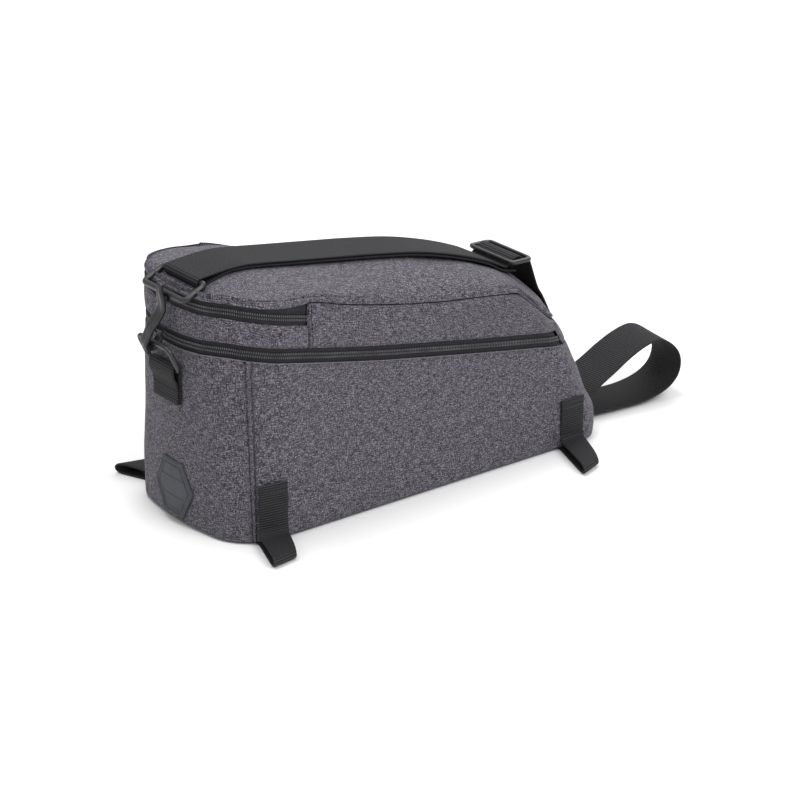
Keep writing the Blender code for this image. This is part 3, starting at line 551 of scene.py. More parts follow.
class Finish:
    """One material: its colour, roughness and relief are worked out by nodes."""

    def __init__(self, name, colour, roughness, gleam=0.5):
        self.material = bpy.data.materials.new(name)
        self.material.use_nodes = True
        self.tree = self.material.node_tree
        self.shader = self.tree.nodes["Principled BSDF"]
        self.shader.inputs["Base Color"].default_value = (*colour, 1)
        self.shader.inputs["Roughness"].default_value = roughness
        self.shader.inputs["Specular IOR Level"].default_value = gleam
        self.material.diffuse_color = (*colour, 1)

    def node(self, kind, settings, sockets):
        """Add a node, set its settings first, then its sockets to values or links."""
        node = self.tree.nodes.new("ShaderNode" + kind)
        for key, value in settings.items():
            setattr(node, key, value)
        for key, value in sockets.items():
            if isinstance(value, Value):
                value = value.socket
            if isinstance(value, bpy.types.NodeSocket):
                self.tree.links.new(value, node.inputs[key])
            else:
                node.inputs[key].default_value = value
        return node

    def place(self, along=1.0, across=1.0):
        """The piece's own map in millimetres, stretched."""
        source = self.node("UVMap", {"uv_map": "cloth"}, {}).outputs[0]
        return self.node("VectorMath", {"operation": "MULTIPLY"},
                         {0: source, 1: (along, across, 1)}).outputs[0]

    def spot(self):
        """The place in the object in metres."""
        return self.node("TexCoord", {}, {}).outputs["Object"]

    def parts(self, vector):
        """The two shares of a place, each as a number."""
        node = self.node("SeparateXYZ", {}, {0: vector})
        return Value(self, node.outputs[0]), Value(self, node.outputs[1])

    def noise(self, vector, scale, detail=2.0, rough=0.5):
        """Soft noise between 0 and 1."""
        node = self.node("TexNoise", {}, {"Vector": vector, "Scale": scale, "Detail": detail,
                                          "Roughness": rough})
        return Value(self, node.outputs[0])

    def threads(self, along, across, detail=2.0, rough=0.5):
        """Noise over the map, with so many grains to the millimetre each way."""
        return self.noise(self.place(along, across), 1.0, detail, rough)

    def weave(self, count):
        """The crossing of two sets of threads."""
        u, v = self.parts(self.place())
        return (u * count).sine() * (v * count).sine()

    def mix(self, share, first, second):
        """A colour between two colours."""
        def full(value):
            return (*value, 1) if isinstance(value, tuple) and len(value) == 3 else value
        node = self.node("Mix", {"data_type": "RGBA"}, {0: share, 6: full(first), 7: full(second)})
        return node.outputs[2]

    def paint(self, colour):
        self.tree.links.new(colour, self.shader.inputs["Base Color"])

    def gloss(self, value):
        self.tree.links.new(value.socket, self.shader.inputs["Roughness"])

    def relief(self, height, distance, strength=1.0):
        node = self.node("Bump", {}, {"Height": height, "Distance": distance, "Strength": strength})
        self.tree.links.new(node.outputs[0], self.shader.inputs["Normal"])


def heather(name, dark, middle, light):
    """Heather cloth: short dark and pale threads lying both ways over a grey ground."""
    f = Finish(name, middle, 0.92, 0.25)
    lying = f.threads(0.19, 1.10, 2.0, 0.65)
    standing = f.threads(1.10, 0.22, 2.0, 0.65)
    patch = f.threads(0.11, 0.13)
    flecks = f.threads(0.85, 1.0, 1.0)
    tone = lying * 0.55 + standing * 0.45 + (patch - 0.5) * 0.13
    base = f.mix(tone.ramp(0.39, 0.49), dark, middle)
    base = f.mix(tone.ramp(0.51, 0.59), base, light)
    pale = tuple(min(1.0, c * 2.2) for c in light)
    base = f.mix(flecks.ramp(0.62, 0.70) * 0.9, base, pale)
    f.paint(f.mix(flecks.ramp(0.38, 0.28) * 0.7, base, tuple(0.6 * c for c in dark)))
    f.relief(f.weave(5.2) * 0.35 + lying * 0.8 + standing * 0.8, 0.00035, 0.75)
    f.shader.inputs["Sheen Weight"].default_value = 0.10
    f.shader.inputs["Sheen Roughness"].default_value = 0.5
    return f.material


def ribbed(name, dark, light, pitch):
    """Webbing: ribs across the band, with fine threads between them. Its colour is a painted
    highlight on the rib tops and threads and painted shade between them, with random wear.
    """
    f = Finish(name, dark, 0.72, 0.22)
    u, v = f.parts(f.place())
    rib = (u * (2 * math.pi / pitch)).sine() * 0.5 + 0.5
    thread = (v * 4.6).sine() * 0.5 + 0.5
    wear = f.threads(0.35, 0.35, 4.0)
    # painted light: paler on the rib tops and threads and darker in the valleys between them, as
    # light and shade would fall; the wear noise is real random wear
    f.paint(f.mix((rib * 0.75 + thread * 0.15 + wear * 0.35).ramp(0.25, 1.05), dark, light))
    f.relief(rib * 0.8 + thread * 0.22, 0.00042, 0.9)
    return f.material


def tape(name, dark, light):
    """Zip tape and binding: a fine even weave."""
    f = Finish(name, dark, 0.62, 0.25)
    wear = f.threads(0.2, 0.6, 3.0)
    f.paint(f.mix(wear.ramp(0.3, 0.75), dark, light))
    f.relief(f.weave(6.5) * 0.5 + wear * 0.4, 0.0002, 0.7)
    return f.material


def moulded(name, dark, light, roughness):
    """Moulded plastic: a fine grain and slightly rubbed, paler places."""
    f = Finish(name, dark, roughness)
    grain = f.noise(f.spot(), 1400.0)
    rub = f.noise(f.spot(), 90.0, 3.0)
    f.paint(f.mix(rub.ramp(0.35, 0.75), dark, light))
    f.gloss(rub * 0.22 + (roughness - 0.1))
    f.relief(grain * 0.6 + rub * 0.8, 0.00012, 0.6)
    return f.material


SURFACE = {}


def finishes():
    """Make every material once, from the panel's colours."""
    look = bpy.context.scene.trunk_bag_look

    def pair(key):
        return tuple(getattr(look, key + "_dark")), tuple(getattr(look, key + "_light"))

    if not SURFACE:
        dark, light = pair("cloth")
        SURFACE["cloth"] = heather("heather_cloth", dark, tuple(look.cloth_middle), light)
        SURFACE["web"] = ribbed("black_webbing", *pair("web"), 2.1)
        SURFACE["tape"] = tape("zip_tape", *pair("tape"))
        SURFACE["teeth"] = moulded("zip_teeth", (0.060, 0.060, 0.064), (0.130, 0.130, 0.138), 0.45)
        SURFACE["plastic"] = moulded("black_plastic", *pair("plastic"), 0.38)
        SURFACE["label"] = moulded("label_rubber", *pair("label"), 0.62)
        SURFACE["thread"] = tape("sewing_thread", (0.045, 0.043, 0.047), (0.11, 0.105, 0.115))
        # painted highlight: a pale cord colour for the folded cloth edge under the lower zip, where
        # the edge catches the light
        SURFACE["edge"] = tape("cloth_edge", (0.095, 0.090, 0.104), (0.185, 0.175, 0.198))
        SURFACE["base"] = tape("base_cloth", (0.010, 0.010, 0.011), (0.026, 0.026, 0.028))
    return SURFACE


def turns(count):
    """Even places round the outline."""
    return np.linspace(0, 2, count, endpoint=False)


def seam_turn(height, place):
    """Where on the near half the corner seam runs: the outline's place at a length from
    the rear, for each height."""
    t = np.linspace(0, 0.5, 400)
    x, _ = outline(t[None], height[:, None])
    return t[np.argmax(x > place, axis=1)]


def panel(name, low, high, rows, cols, depth, seed, node, seam, waves):
    """A padded cloth wall round the bag. Its surface is the outline between two edges, puffed
    out by depth times the square root of a half sine, with soft ripples that die at the edges,
    and a ridge between two valleys along each corner seam. Both edges are rolled. Columns
    lie closer near the seams."""
    at = float(seam_turn(np.array([0.12]), seam)[0])
    close = [np.linspace(place - 0.030, place + 0.030, 130) for place in (at, 2 - at)]
    turn = np.unique(np.round(np.concatenate([turns(cols), *close]), 6))[None]
    share = np.linspace(0, 1, rows)[:, None]
    points = wall(turn, share, lambda x: low(x) + ROLL, lambda x: high(x) - ROLL)
    out = normals(points, True)
    arc = lengths(points[rows // 2])[None]
    z = points[..., 2]
    hold = np.sin(math.pi * share) ** 0.5
    puff = depth * hold + 0.0007 * hold * ripple(arc, z, 0.085, seed)
    puff = puff + 0.00035 * hold * ripple(arc, z, 0.028, seed + 1)
    edge = bump(share, 0.10) + bump(1 - share, 0.10)
    puff = puff + waves * edge * ripple(arc, z * 0.2, 0.020, seed + 2) * (hold > 0)
    at = seam_turn(z[:, 0], seam)[:, None]
    for centre in (at, 2 - at):
        off = (turn - centre) * HALF_GIRTH
        for height, place, width in SEAM_PROFILE:
            puff = puff + height * bump(off - place, width)
    points = points + out * puff[..., None]
    out = normals(points, True)
    rim = lip(points[-1], flat(out[-1]), 1.0, ROLL, ROLL_DEPTH)
    foot = lip(points[0], flat(out[0]), -1.0, ROLL, ROLL_DEPTH)[::-1]
    obj = grid_piece(name, np.concatenate([foot, points, rim]), "cloth", (node,), around=True)
    return obj, points, out


def rim_order(line):
    """Which points of a closed row lie along the lower zip, in their order round the rear."""
    order = np.roll(np.arange(len(line)), len(line) // 2)
    return order[line[order, 0] < ZIP_REACH]


def rim_stitch(name, points, out, row):
    """Stitches beside the lower zip, along one row of a wall."""
    order = rim_order(points[row])
    return sew(name, points[row][order], out[row][order])


def zip_rows(name, rim, reach, seed):
    """A zip: a tape that runs round the rear, and two rows of grains for its teeth. The
    tape's profile is a low swell with a groove at its middle and two pressed lines."""
    def top(x):
        return rim(x) + ZIP_WIDTH

    t = np.linspace(-1, 1, 1100)
    turn = np.where(t < 0, 2 + t, t)[None]
    x = wall(turn, np.array([[0.5]]), rim, top)[0, :, 0]
    good = np.where(x < reach - GAP)[0]
    share = np.linspace(-0.02, 1.02, 33)[:, None]
    points = wall(turn[:, good[0]:good[-1] + 1], share, rim, top)
    out = normals(points, False)
    swell = 0.0012 * bump(share - 0.5, 0.19, 4)
    groove = -0.0006 * bump(share - 0.5, 0.035)
    ribs = -0.0005 * (bump(share - 0.27, 0.03) + bump(share - 0.73, 0.03))
    waves = 0.00025 * ripple(points[..., 0] + points[..., 1], points[..., 2], 0.05, seed)
    points = points + out * (-ZIP_DEPTH + swell + groove + ribs + waves)[..., None]
    grid_piece(name + "_tape", points, "tape", (name,))
    up = unit(points[20] - points[12])
    for part, lift in (("low", -TOOTH_LIFT), ("high", TOOTH_LIFT)):
        grains(name + "_teeth_" + part, bean(*TOOTH), points[16] + up * lift, out[16],
               TOOTH_PITCH, 0.0003, "teeth", crosswise=True)


def backing(name, low, high, inset):
    """A dark strip behind a seam: the wall between two heights, moved inward."""
    points = wall(turns(500)[None], np.linspace(0, 1, 5)[:, None], low, high)
    return grid_piece(name, points - normals(points, True) * inset, "tape", around=True)


def lid_surface(turn, step):
    """The crowned lid. Each outline point at the rim runs towards the crest line: inward by
    one share and upward by another, both read from the crown table at the step."""
    turn, step = np.broadcast_arrays(turn, step)
    rim = wall(turn[:1], np.zeros((1, 1)), lambda x: seam_rim(x) + GAP,
               lambda x: seam_rim(x) + 0.01)[0]
    start = CREST_START * BODY_LENGTH
    end = CREST_END * BODY_LENGTH
    share = (rim[:, 0] - rim[:, 0].min()) / np.ptp(rim[:, 0])
    cx = 0.9 * np.clip(rim[:, 0], start, end) + 0.1 * (start + (end - start) * share)
    cz = crest(cx)
    level = ease(np.clip(rim[:, 0] / (REAR_FLAT * BODY_LENGTH), 0, 1))
    steep = np.clip(rim[:, 0] / (NOSE_STEEP * BODY_LENGTH) - 1, 0, 0.1) * 10
    inward, sides, rear, nose = (follow(CROWN_ROWS, step, k) for k in (1, 2, 3, 4))
    upward = rear + (sides - rear) * level + (nose - sides) * steep
    x = rim[:, 0] + (cx - rim[:, 0]) * inward
    y = rim[:, 1] * (1 - inward)
    z = rim[:, 2] + (cz - rim[:, 2]) * upward
    return np.stack([x, y, z], -1), rim


def webbing_route(points, spacing):
    """Route of a web in the bag's upright middle plane."""
    return curve([(a, 0.0, b) for a, b in points], spacing)


def lid_height(x):
    """Greatest height of the lid under the strap."""
    points, _ = lid_surface(turns(480)[None], np.linspace(0.5, 8, 90)[:, None])
    px, py, pz = points[np.abs(points[..., 1]) < STRAP_WIDTH / 2].T
    return np.array([pz[np.abs(px - q) < 0.004].max() for q in x])


def rounded_loop(corners, radius):
    """Straight runs joined by parabolas at the corners."""
    t = np.linspace(0, 1, 8)[:, None]
    out = []
    for k, here in enumerate(corners):
        before = corners[k - 1] - here
        after = corners[(k + 1) % len(corners)] - here
        r = min(radius, 0.45 * np.linalg.norm(before), 0.45 * np.linalg.norm(after))
        a = here + unit(before) * r
        b = here + unit(after) * r
        out.append((1 - t) ** 2 * a + 2 * t * (1 - t) * here + t * t * b)
    return np.concatenate(out)


def eye_places():
    """The hook's eye: its upper bar, its lower bar and half its width."""
    top = np.array([FOLD_X * BODY_LENGTH, 0.0, FOLD_Z * BODY_HEIGHT])
    low = np.array([-REAR_BULGE - EYE_WIRE / 2 - EYE_OFF, -0.001, top[2] - EYE_DROP])
    return top, low, np.array([0.0, EYE_WIDTH / 2 - EYE_WIRE / 2, 0.0])


def ring_places():
    """The ring's lower bar in the tab, its upper bar in the hook, and half its width."""
    bar = RING_WIRE / 2 + GAP + WEB_THICK / 2
    x = -REAR_BULGE - GAP - WEB_THICK / 2 - bar
    low = np.array([x, TAB_Y, TAB_TOP * BODY_HEIGHT])
    high = low + (-0.42 * RING_RISE, 0.003, RING_RISE)
    return low, high, np.array([0.0, TAB_WIDTH / 2 + 0.0045, 0.0])


def colour(name, description, red, green, blue):
    """A colour for the panel."""
    return FloatVectorProperty(name=name, description=description, subtype="COLOR", size=3,
                               default=(red, green, blue))


class TRUNKBAG_PG_look(bpy.types.PropertyGroup):
    """Colours and small sizes of the bag's finish."""
    cloth_dark: colour("Cloth, dark threads", "Darkest threads of the heather cloth",
                       0.013, 0.012, 0.015)
    cloth_middle: colour("Cloth, ground", "Ground colour of the heather cloth",
                         0.056, 0.052, 0.064)
    cloth_light: colour("Cloth, pale threads", "Pale threads of the heather cloth",
                        0.165, 0.153, 0.184)
    # webbing colours: the valley colour is painted shade between the ribs, the rib colour a painted
    # highlight on their tops
    web_dark: colour("Webbing, valleys", "Webbing between its ribs", 0.0035, 0.0035, 0.0042)
    web_light: colour("Webbing, ribs", "Webbing on its ribs", 0.032, 0.032, 0.035)
    tape_dark: colour("Zip tape, dark", "Zip tape's darker threads", 0.0050, 0.0050, 0.0060)
    tape_light: colour("Zip tape, pale", "Zip tape where it is worn", 0.016, 0.016, 0.019)
    plastic_dark: colour("Plastic", "Moulded plastic", 0.0075, 0.0078, 0.0085)
    plastic_light: colour("Plastic, rubbed", "Moulded plastic where it is rubbed",
                          0.022, 0.023, 0.025)
    label_dark: colour("Label", "Rubber label", 0.030, 0.031, 0.040)
    label_light: colour("Label, rubbed", "Rubber label where it is rubbed", 0.055, 0.057, 0.072)
    floor: colour("Floor", "Colour of the floor", 0.86, 0.86, 0.86)
    puff: FloatProperty(name="Padding swell", unit="LENGTH", default=0.0012, min=0.0, max=0.004,
                        description="How far the padded cloth stands out between its edges")
    camera_distance: FloatProperty(name="Camera distance", unit="LENGTH", default=2.723,
                                   description="From the camera to the bag's middle")


class TRUNKBAG_OT_lower_body(bpy.types.Operator):
    """Make the lower body's padded wall with its stitches, a pale cord along its top edge as a
    painted highlight, and the base
    """
    bl_idname = "trunk_bag.lower_body"
    bl_label = "Lower body"

    def execute(self, context):
        foot = WEB_THICK + GAP
        obj, points, out = panel("lower_body_cloth", lambda x: 0 * x + foot,
                                 lambda x: body_rim(x) - GAP, 84, 640,
                                 context.scene.trunk_bag_look.puff, 11, "lower_body",
                                 CORNER_SEAM, 0.00018)
        rim_stitch("lower_body_stitch", points, out, 82)
        # A pale cord along the top edge under the lower zip: a painted highlight where the folded
        # cloth edge catches the light.
        up = unit(points[-1] - points[-2])
        line = points[-1] + up * EDGE_HIGHLIGHT_LIFT + out[-1] * 0.0003
        order = rim_order(line)
        carry("lower_body_edge", line[order], up[order] * EDGE_HIGHLIGHT_WIRE / 2,
              round_section(EDGE_HIGHLIGHT_WIRE, 2.0, 10), "edge")
        z = points[4:80, 0, 2]
        near = seam_turn(z, CORNER_SEAM) + BINDING
        for name, at in (("near", near), ("far", 2 - near)):
            x, y = outline(at, z)
            face = unit(columns(-0.35, np.sign(y), 0.0 * z))
            sew("corner_stitch_" + name, columns(x, y, z) + face * 0.0013, face)
        t = np.linspace(0.0, 1.0, 160)[None]
        s = np.linspace(0.0, 1.0, 60)[:, None]
        x, y = outline(t, foot, SHELL)
        x, y = np.broadcast_arrays(x, y * (1 - 2 * s))
        sag = 0.0006 * ripple(x, y, 0.07, 5) * np.sin(math.pi * s) * np.sin(math.pi * t)
        under = columns(x, y, foot + 0.0008 + sag * 0.6)
        grid_piece("base_cloth_panel", under[::-1], "base", ("base_panel",))
        return {"FINISHED"}


class TRUNKBAG_OT_band(bpy.types.Operator):
    """Make the padded band between the two zips, and the strips behind its seams"""
    bl_idname = "trunk_bag.band"
    bl_label = "Middle band"

    def execute(self, context):
        def blend(x, reach, rear, front, width):
            return rear + (front - rear) * ease(np.clip((x - reach) / width + 0.5, 0, 1))

        def low(x):
            return blend(x, ZIP_REACH, body_rim(x) + ZIP_WIDTH + GAP, body_rim(x) + GAP, 0.006)

        def high(x):
            return blend(x, POCKET_REACH + GAP, pocket_rim(x) - GAP, seam_rim(x) - GAP, 0.0016)

        obj, points, out = panel("middle_band_cloth", low, high, 44, 1100,
                                 context.scene.trunk_bag_look.puff * 0.7, 23, "middle_band",
                                 POCKET_REACH + 0.0022, 0.0002)
        rim_stitch("band_stitch", points, out, 1)
        backing("lid_seam_backing", lambda x: seam_rim(x) - 0.007, lambda x: seam_rim(x) + 0.0003,
                0.0026)
        backing("body_seam_backing", lambda x: body_rim(x) - 0.005,
                lambda x: body_rim(x) + ZIP_WIDTH + 0.003, 0.0036)
        return {"FINISHED"}


def slider(name, x, rim):
    """A slider's wedge on the teeth, and its pull hanging over it."""
    y = (np.array(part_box(name)[1]) + ORIGIN)[1] - 0.0030
    z = float(rim(np.array(x))) + ZIP_WIDTH / 2
    s = np.linspace(-1, 1, 12)
    carry(name + "_body", columns(x + s * 0.0055, y, z), columns(0.0, 0.0, 0.0040 - 0.0010 * s),
          round_section(0.0030, 3.4), "plastic", (name,))
    s = np.linspace(0, 1, 24)
    path = columns(x, y + 0.0018 + 0.0004 * np.sin(3 * s), z - PULL_LENGTH * s)
    wide = columns(0.0013 + 0.0008 * np.sin(math.pi * s ** 1.6), 0.0, 0.0)
    carry(name + "_pull", path, wide, round_section(0.0016, 3.0), "plastic", ())


class TRUNKBAG_OT_zips(bpy.types.Operator):
    """Make both zips with their tapes, teeth, sliders and pulls"""
    bl_idname = "trunk_bag.zips"
    bl_label = "Zips"

    def execute(self, context):
        zips = (("lower_zip", body_rim, ZIP_REACH, 31), ("upper_zip", pocket_rim, POCKET_REACH, 37))
        for name, rim, reach, seed in zips:
            zip_rows(name, rim, reach, seed)
        for name, rim, reach, _ in zips:
            slider(name + "_slider", SLIDER_PLACE * reach, rim)
        return {"FINISHED"}


class TRUNKBAG_OT_lid(bpy.types.Operator):
    """Make the crowned lid and the dark flaps over the upper zip's ends"""
    bl_idname = "trunk_bag.lid"
    bl_label = "Lid"

    def execute(self, context):
        cols = 1000
        half = cols // 2
        turn = turns(cols)[None]
        step = (np.linspace(0, 1, 76)[:, None] ** 1.15) * 8
        points, rim = lid_surface(turn, step)

        def above_zip(x):
            share = np.maximum(ease(np.clip((x - POCKET_REACH - GAP) / 0.0016 + 0.5, 0, 1)),
                               0.86 * np.clip((x - 0.014) / (POCKET_REACH - 0.014), 0, 1) ** 1.5)
            return pocket_rim(x) + ZIP_WIDTH + GAP + (
                seam_rim(x) - pocket_rim(x) - ZIP_WIDTH) * share

        def skirt_top(x):
            return np.maximum(seam_rim(x) + GAP, above_zip(x) + 0.0015)

        skirt = wall(turn, np.linspace(0, 0.92, 7)[:, None], lambda x: above_zip(x) + 0.0009,
                     skirt_top)
        points[..., 2] += (skirt_top(rim[:, 0]) - rim[:, 2]) * np.exp(-step / 0.8)
        points = np.concatenate([skirt, points[1:]])
        out = normals(points, True)
        share = np.concatenate([np.zeros((7, 1)), step[1:] / 8])
        hold = np.clip(share * 6, 0, 1) * np.clip((1 - share) * 3, 0, 1)
        x, y, z = points[..., 0], points[..., 1], points[..., 2]
        puff = 0.0003 * hold + 0.0006 * hold * ripple(x, y + z, 0.075, 41)
        puff = puff + 0.0002 * hold * ripple(x, y + z, 0.030, 42)
        front = (np.clip((x - 0.27) / 0.05, 0, 1) * np.clip(share * 5, 0, 1)
                 * np.clip((1 - share) * 4, 0, 1))
        fold = np.sin((x * 0.55 + z) * 2 * math.pi / 0.024)
        points = points + out * (puff - 0.0016 * front * (0.5 + 0.5 * fold))[..., None]
        out = normals(points, True)
        foot = lip(points[0], flat(out[0]), -1.0, 0.0009, ROLL_DEPTH)[::-1]
        obj = grid_piece("lid_cloth", np.concatenate([foot, points]), "cloth", ("lid",),
                         around=True, capped=True)
        base = wall(turn, np.zeros((1, 1)), above_zip, lambda q: above_zip(q) + 0.01)[0]
        at = np.linspace(0.010, POCKET_REACH - 0.0012, 40)
        low = pocket_rim(at) + ZIP_WIDTH * 0.96
        high = above_zip(at) + 0.0012
        z = low + (high - low) * np.linspace(0, 1, 12)[:, None]
        for name, row, way in (("near", base[:half], 1), ("far", base[half:][::-1], -1)):
            order = np.argsort(row[:, 0] + np.arange(half) * 1e-9)
            order = order[np.abs(row[order, 1]) > 0.03]
            y = np.interp(at, row[order, 0], row[order, 1])
            flap = columns(at, y - np.sign(y) * 0.0007, z)
            grid_piece("zip_flap_" + name, flap[:, ::way], "tape")
        return {"FINISHED"}


def strap():
    """From the adjuster back over the lid, round the eye, forwards again over its first
    run, through the adjuster and down the nose."""
    t = WEB_THICK
    s = BODY_LENGTH
    slide = (SLIDE_X * s, SLIDE_Z * BODY_HEIGHT)
    fold = (FOLD_X * s, FOLD_Z * BODY_HEIGHT)
    bar = EYE_WIRE / 2 + GAP + t / 2
    near = 0.0010 + t / 2
    stops = np.concatenate([[slide[0] - 0.002, 0.780 * s], STRAP_PLACES[::-1] * s])
    lower = list(zip(stops, lid_height(stops) + near))
    turn = [(fold[0] + bar * math.cos(a), fold[1] - bar * math.sin(a))
            for a in np.radians([80, 120, 160, 200, 240, 280])]
    upper = list(zip(STRAP_PLACES * s, lid_height(STRAP_PLACES * s) + near + t + 0.0007))
    half = SLIDE_LENGTH / 2
    low = SLIDE_THICK * 0.14 + GAP + t / 2
    high = SLIDE_THICK * 0.25 + GAP + t / 2 + 0.0003
    over = [(slide[0] + half * a, slide[1] + b) for a, b in
            ((-1.10, -low - 0.0022), (-0.90, -low - 0.0014), (-0.70, -low - 0.0004),
             (-0.36, 0.45 * high), (-0.14, high), (0.14, high), (0.36, 0.45 * high),
             (0.70, -low - 0.0004), (0.90, -low - 0.0014), (1.10, -low - 0.0026))]
    down = [(a * s, b * BODY_HEIGHT) for a, b in NOSE_ROUTE]
    path = webbing_route(lower + turn + upper + over + down, 0.0014)
    web("shoulder_strap", path, (0.0, STRAP_WIDTH / 2, 0.0), STRAP_WIDTH)


def lashing_loop(name):
    """Webbing down the side, out into a flat loop, and back under the base."""
    place, top, reach, slant, under, hand = LOOPS[name]
    t = WEB_THICK
    near = GAP + t / 2
    across = np.linspace(-0.5, 0.5, 9) * LOOP_WIDTH
    edges = []
    for height in (0.0, top):
        x, y = outline(np.linspace(0, 1, 2000), height)
        edges.append(np.interp(place + across, x[150:], -y[150:]))
    wide = np.max(edges, axis=0)
    taper = (wide[0] - wide[-1]) / LOOP_WIDTH
    edge = float(np.max(wide + taper * across)) + 0.0009
    low = t / 2 + 0.0002
    route = [(near, top), (near, 0.62 * top), (near, 0.30 * top), (near + 0.0012, 0.0125),
             (0.0065, 0.0088), (0.42 * reach, 0.0092), (0.76 * reach, 0.0094),
             (0.93 * reach, 0.0082), (reach, 0.0050), (0.93 * reach, low + 0.0010),
             (0.76 * reach, low), (0.40 * reach, low), (0.004, low), (-under, low)]
    _, off, z = curve([(0.0, a, b) for a, b in route], 0.0013).T
    z = np.maximum(z, low)
    off = off + 0.00044 * bump(z - top, 0.012)
    share = np.clip(off / reach, 0, 1)
    turn = math.atan(taper) + share * 0.35
    side = columns(hand * -np.cos(turn), np.sin(turn), 0.0) * LOOP_WIDTH / 2
    web(name, columns(place + slant * share, (edge + off) * hand, z), side, LOOP_WIDTH,
        square=False)
    s = np.linspace(-0.42, 0.42, 12) * LOOP_WIDTH
    for k, z in enumerate((top - 0.003, top - 0.0075)):
        line = columns(place + s, (edge + near + t / 2 + 0.0001 - taper * s) * hand, z)
        sew(name + "_stitch" + str(k), line, columns(0 * s, hand, 0.0), WEB_STITCH)


def tab():
    """The ring's tab: flat on the rear panel, folded round the ring's lower bar."""
    t = WEB_THICK
    skin = -REAR_BULGE - GAP - t / 2 - 0.0008
    bar = RING_WIRE / 2 + GAP + t / 2
    ring_x = -REAR_BULGE - GAP - t / 2 - bar
    foot = TAB_FOOT * BODY_HEIGHT
    top = TAB_TOP * BODY_HEIGHT
    route = [(skin, foot), (skin, foot + 0.010), (skin, top - 0.006), (skin + 0.0004, top)]
    route += [(ring_x + bar * math.cos(a), top + bar * math.sin(a))
              for a in np.radians([30, 60, 90, 120, 150, 180])]
    route += [(ring_x - bar + 0.0004, top - 0.006), (skin - t * 1.6, top - 0.0125),
              (skin - t - GAP, foot + 0.010), (skin - t - GAP, foot)]
    path = webbing_route(route, 0.0012)
    path[:, 1] = TAB_Y
    web("rear_tab", path, (0.0, TAB_WIDTH / 2, 0.0), TAB_WIDTH)
    y = np.linspace(-0.44, 0.44, 16) * TAB_WIDTH + TAB_Y
    for k, z in enumerate((foot + 0.003, foot + 0.011)):
        line = columns(skin - t * 1.5 - GAP - 0.0001, y, z)
        sew("rear_tab_stitch" + str(k), line, columns(-1.0, 0 * y, 0.0), WEB_STITCH)


class TRUNKBAG_OT_webbing(bpy.types.Operator):
    """Make the shoulder strap, the tail loop, the lashing loops and the ring's tab"""
    bl_idname = "trunk_bag.webbing"
    bl_label = "Webbing"

    def execute(self, context):
        strap()
        root = BODY_LENGTH + NOSE_BULGE + GAP + WEB_THICK / 2
        path = webbing_route([(root + a * HANDLE_REACH, b * HANDLE_RISE) for a, b in TAIL_ROUTE],
                             0.0016)
        lean = np.clip((path[:, 0] - root) / HANDLE_REACH, 0, 1) * 0.16
        side = columns(np.sin(lean), np.cos(lean), 0.0) * STRAP_WIDTH / 2
        web("tail_loop", path, side, STRAP_WIDTH, "handle_loop")
        for name in LOOPS:
            lashing_loop(name)
        tab()
        return {"FINISHED"}


def hoop(name, first, last, across, radius, lean, wire, node):
    """A closed bar with an oval section, round two bars' places."""
    loop = rounded_loop([first - across, first + across, last + across, last - across], radius)
    flatways = unit(np.cross(unit(lean), (0.0, 1.0, 0.0)))
    carry(name, loop, flatways * wire / 2, round_section(wire, 2.5, 18), "plastic", (node,),
          closed=True)


def hook(low):
    """The swivel's neck, the hook's shank and claw, and its springy gate."""
    first = low + (-0.0003, -0.002, -EYE_WIRE / 2 - GAP * 0.2)
    s = np.linspace(0, 1, 14)
    path = first + columns(0.0, -0.0004 * s, -SWIVEL_LENGTH * s)
    wide = columns(0.0, 0.0037 - 0.0009 * np.sin(math.pi * s), 0.0)
    carry("hook_swivel_neck", path, wide, round_section(0.0074, 2.0, 24), "plastic",
          ("hook_swivel",), ends=0.12)
    lean = HOOK_WIDTH * 0.36 + HOOK_THICK * 0.25
    start = low + (-0.0005, -0.003, -EYE_WIRE / 2 - GAP - SWIVEL_LENGTH - GAP - lean)
    middle = ring_places()[1] + (0.0, 0.003, 0.0)
    down = unit(middle - start)
    wide = unit(np.cross(down, (1.0, 0.0, 0.0)))
    front = unit(np.cross(wide, down))
    if front[0] > 0:
        front = -front
    bend = RING_WIRE / 2 + CLAW_ROOM + HOOK_THICK * 0.4
    run = float(np.linalg.norm(middle - start))
    shank = middle + front * bend
    clear = -(EYE_WIRE / 2 + HOOK_THICK * 0.4 + 0.0010)
    pts = [low + (clear - 0.0006, -0.0045, 0.0085), low + (clear - 0.0008, -0.0040, 0.0030),
           start + front * bend * 0.60 + down * run * 0.02,
           shank - down * run * 0.45, shank - down * run * 0.2, shank]
    for a in np.radians([30, 60, 90, 120, 150]):
        pts.append(middle + front * bend * math.cos(a) + down * bend * math.sin(a))
    pts.append(middle - front * bend)
    pts.append(middle - front * bend - down * CLAW_TIP)
    path = curve(pts, 0.0007, 14)
    s = np.linspace(0, 1, len(path))
    breadth = HOOK_WIDTH / 2 * (1.0 - 0.22 * np.clip((s - 0.45) / 0.55, 0, 1)
                                - 0.30 * bump(s, 0.10))
    section = round_section(HOOK_THICK * 0.8, 3.6, 28)
    section[:, 1] -= np.sign(section[:, 1]) * bump(section[:, 0], 0.34, 4) * 0.0007
    carry("swivel_hook_body", path, wide * breadth[:, None], section, "plastic",
          ("swivel_hook",))
    tip = middle - front * bend - down * (CLAW_TIP + GAP * 2)
    inside = bend - HOOK_THICK * 0.4 - GAP * 2 - 0.0010
    root = middle + front * inside - down * GATE_RISE
    pts = [tip, tip - down * GATE_RISE * 0.35 + front * bend * 0.12,
           (tip + root) / 2 - down * GATE_RISE * 0.18, root]
    carry("hook_gate_tongue", curve(pts, 0.0007, 12), wide * 0.0028,
          round_section(0.0020, 3.0, 20), "plastic", ("hook_gate",))


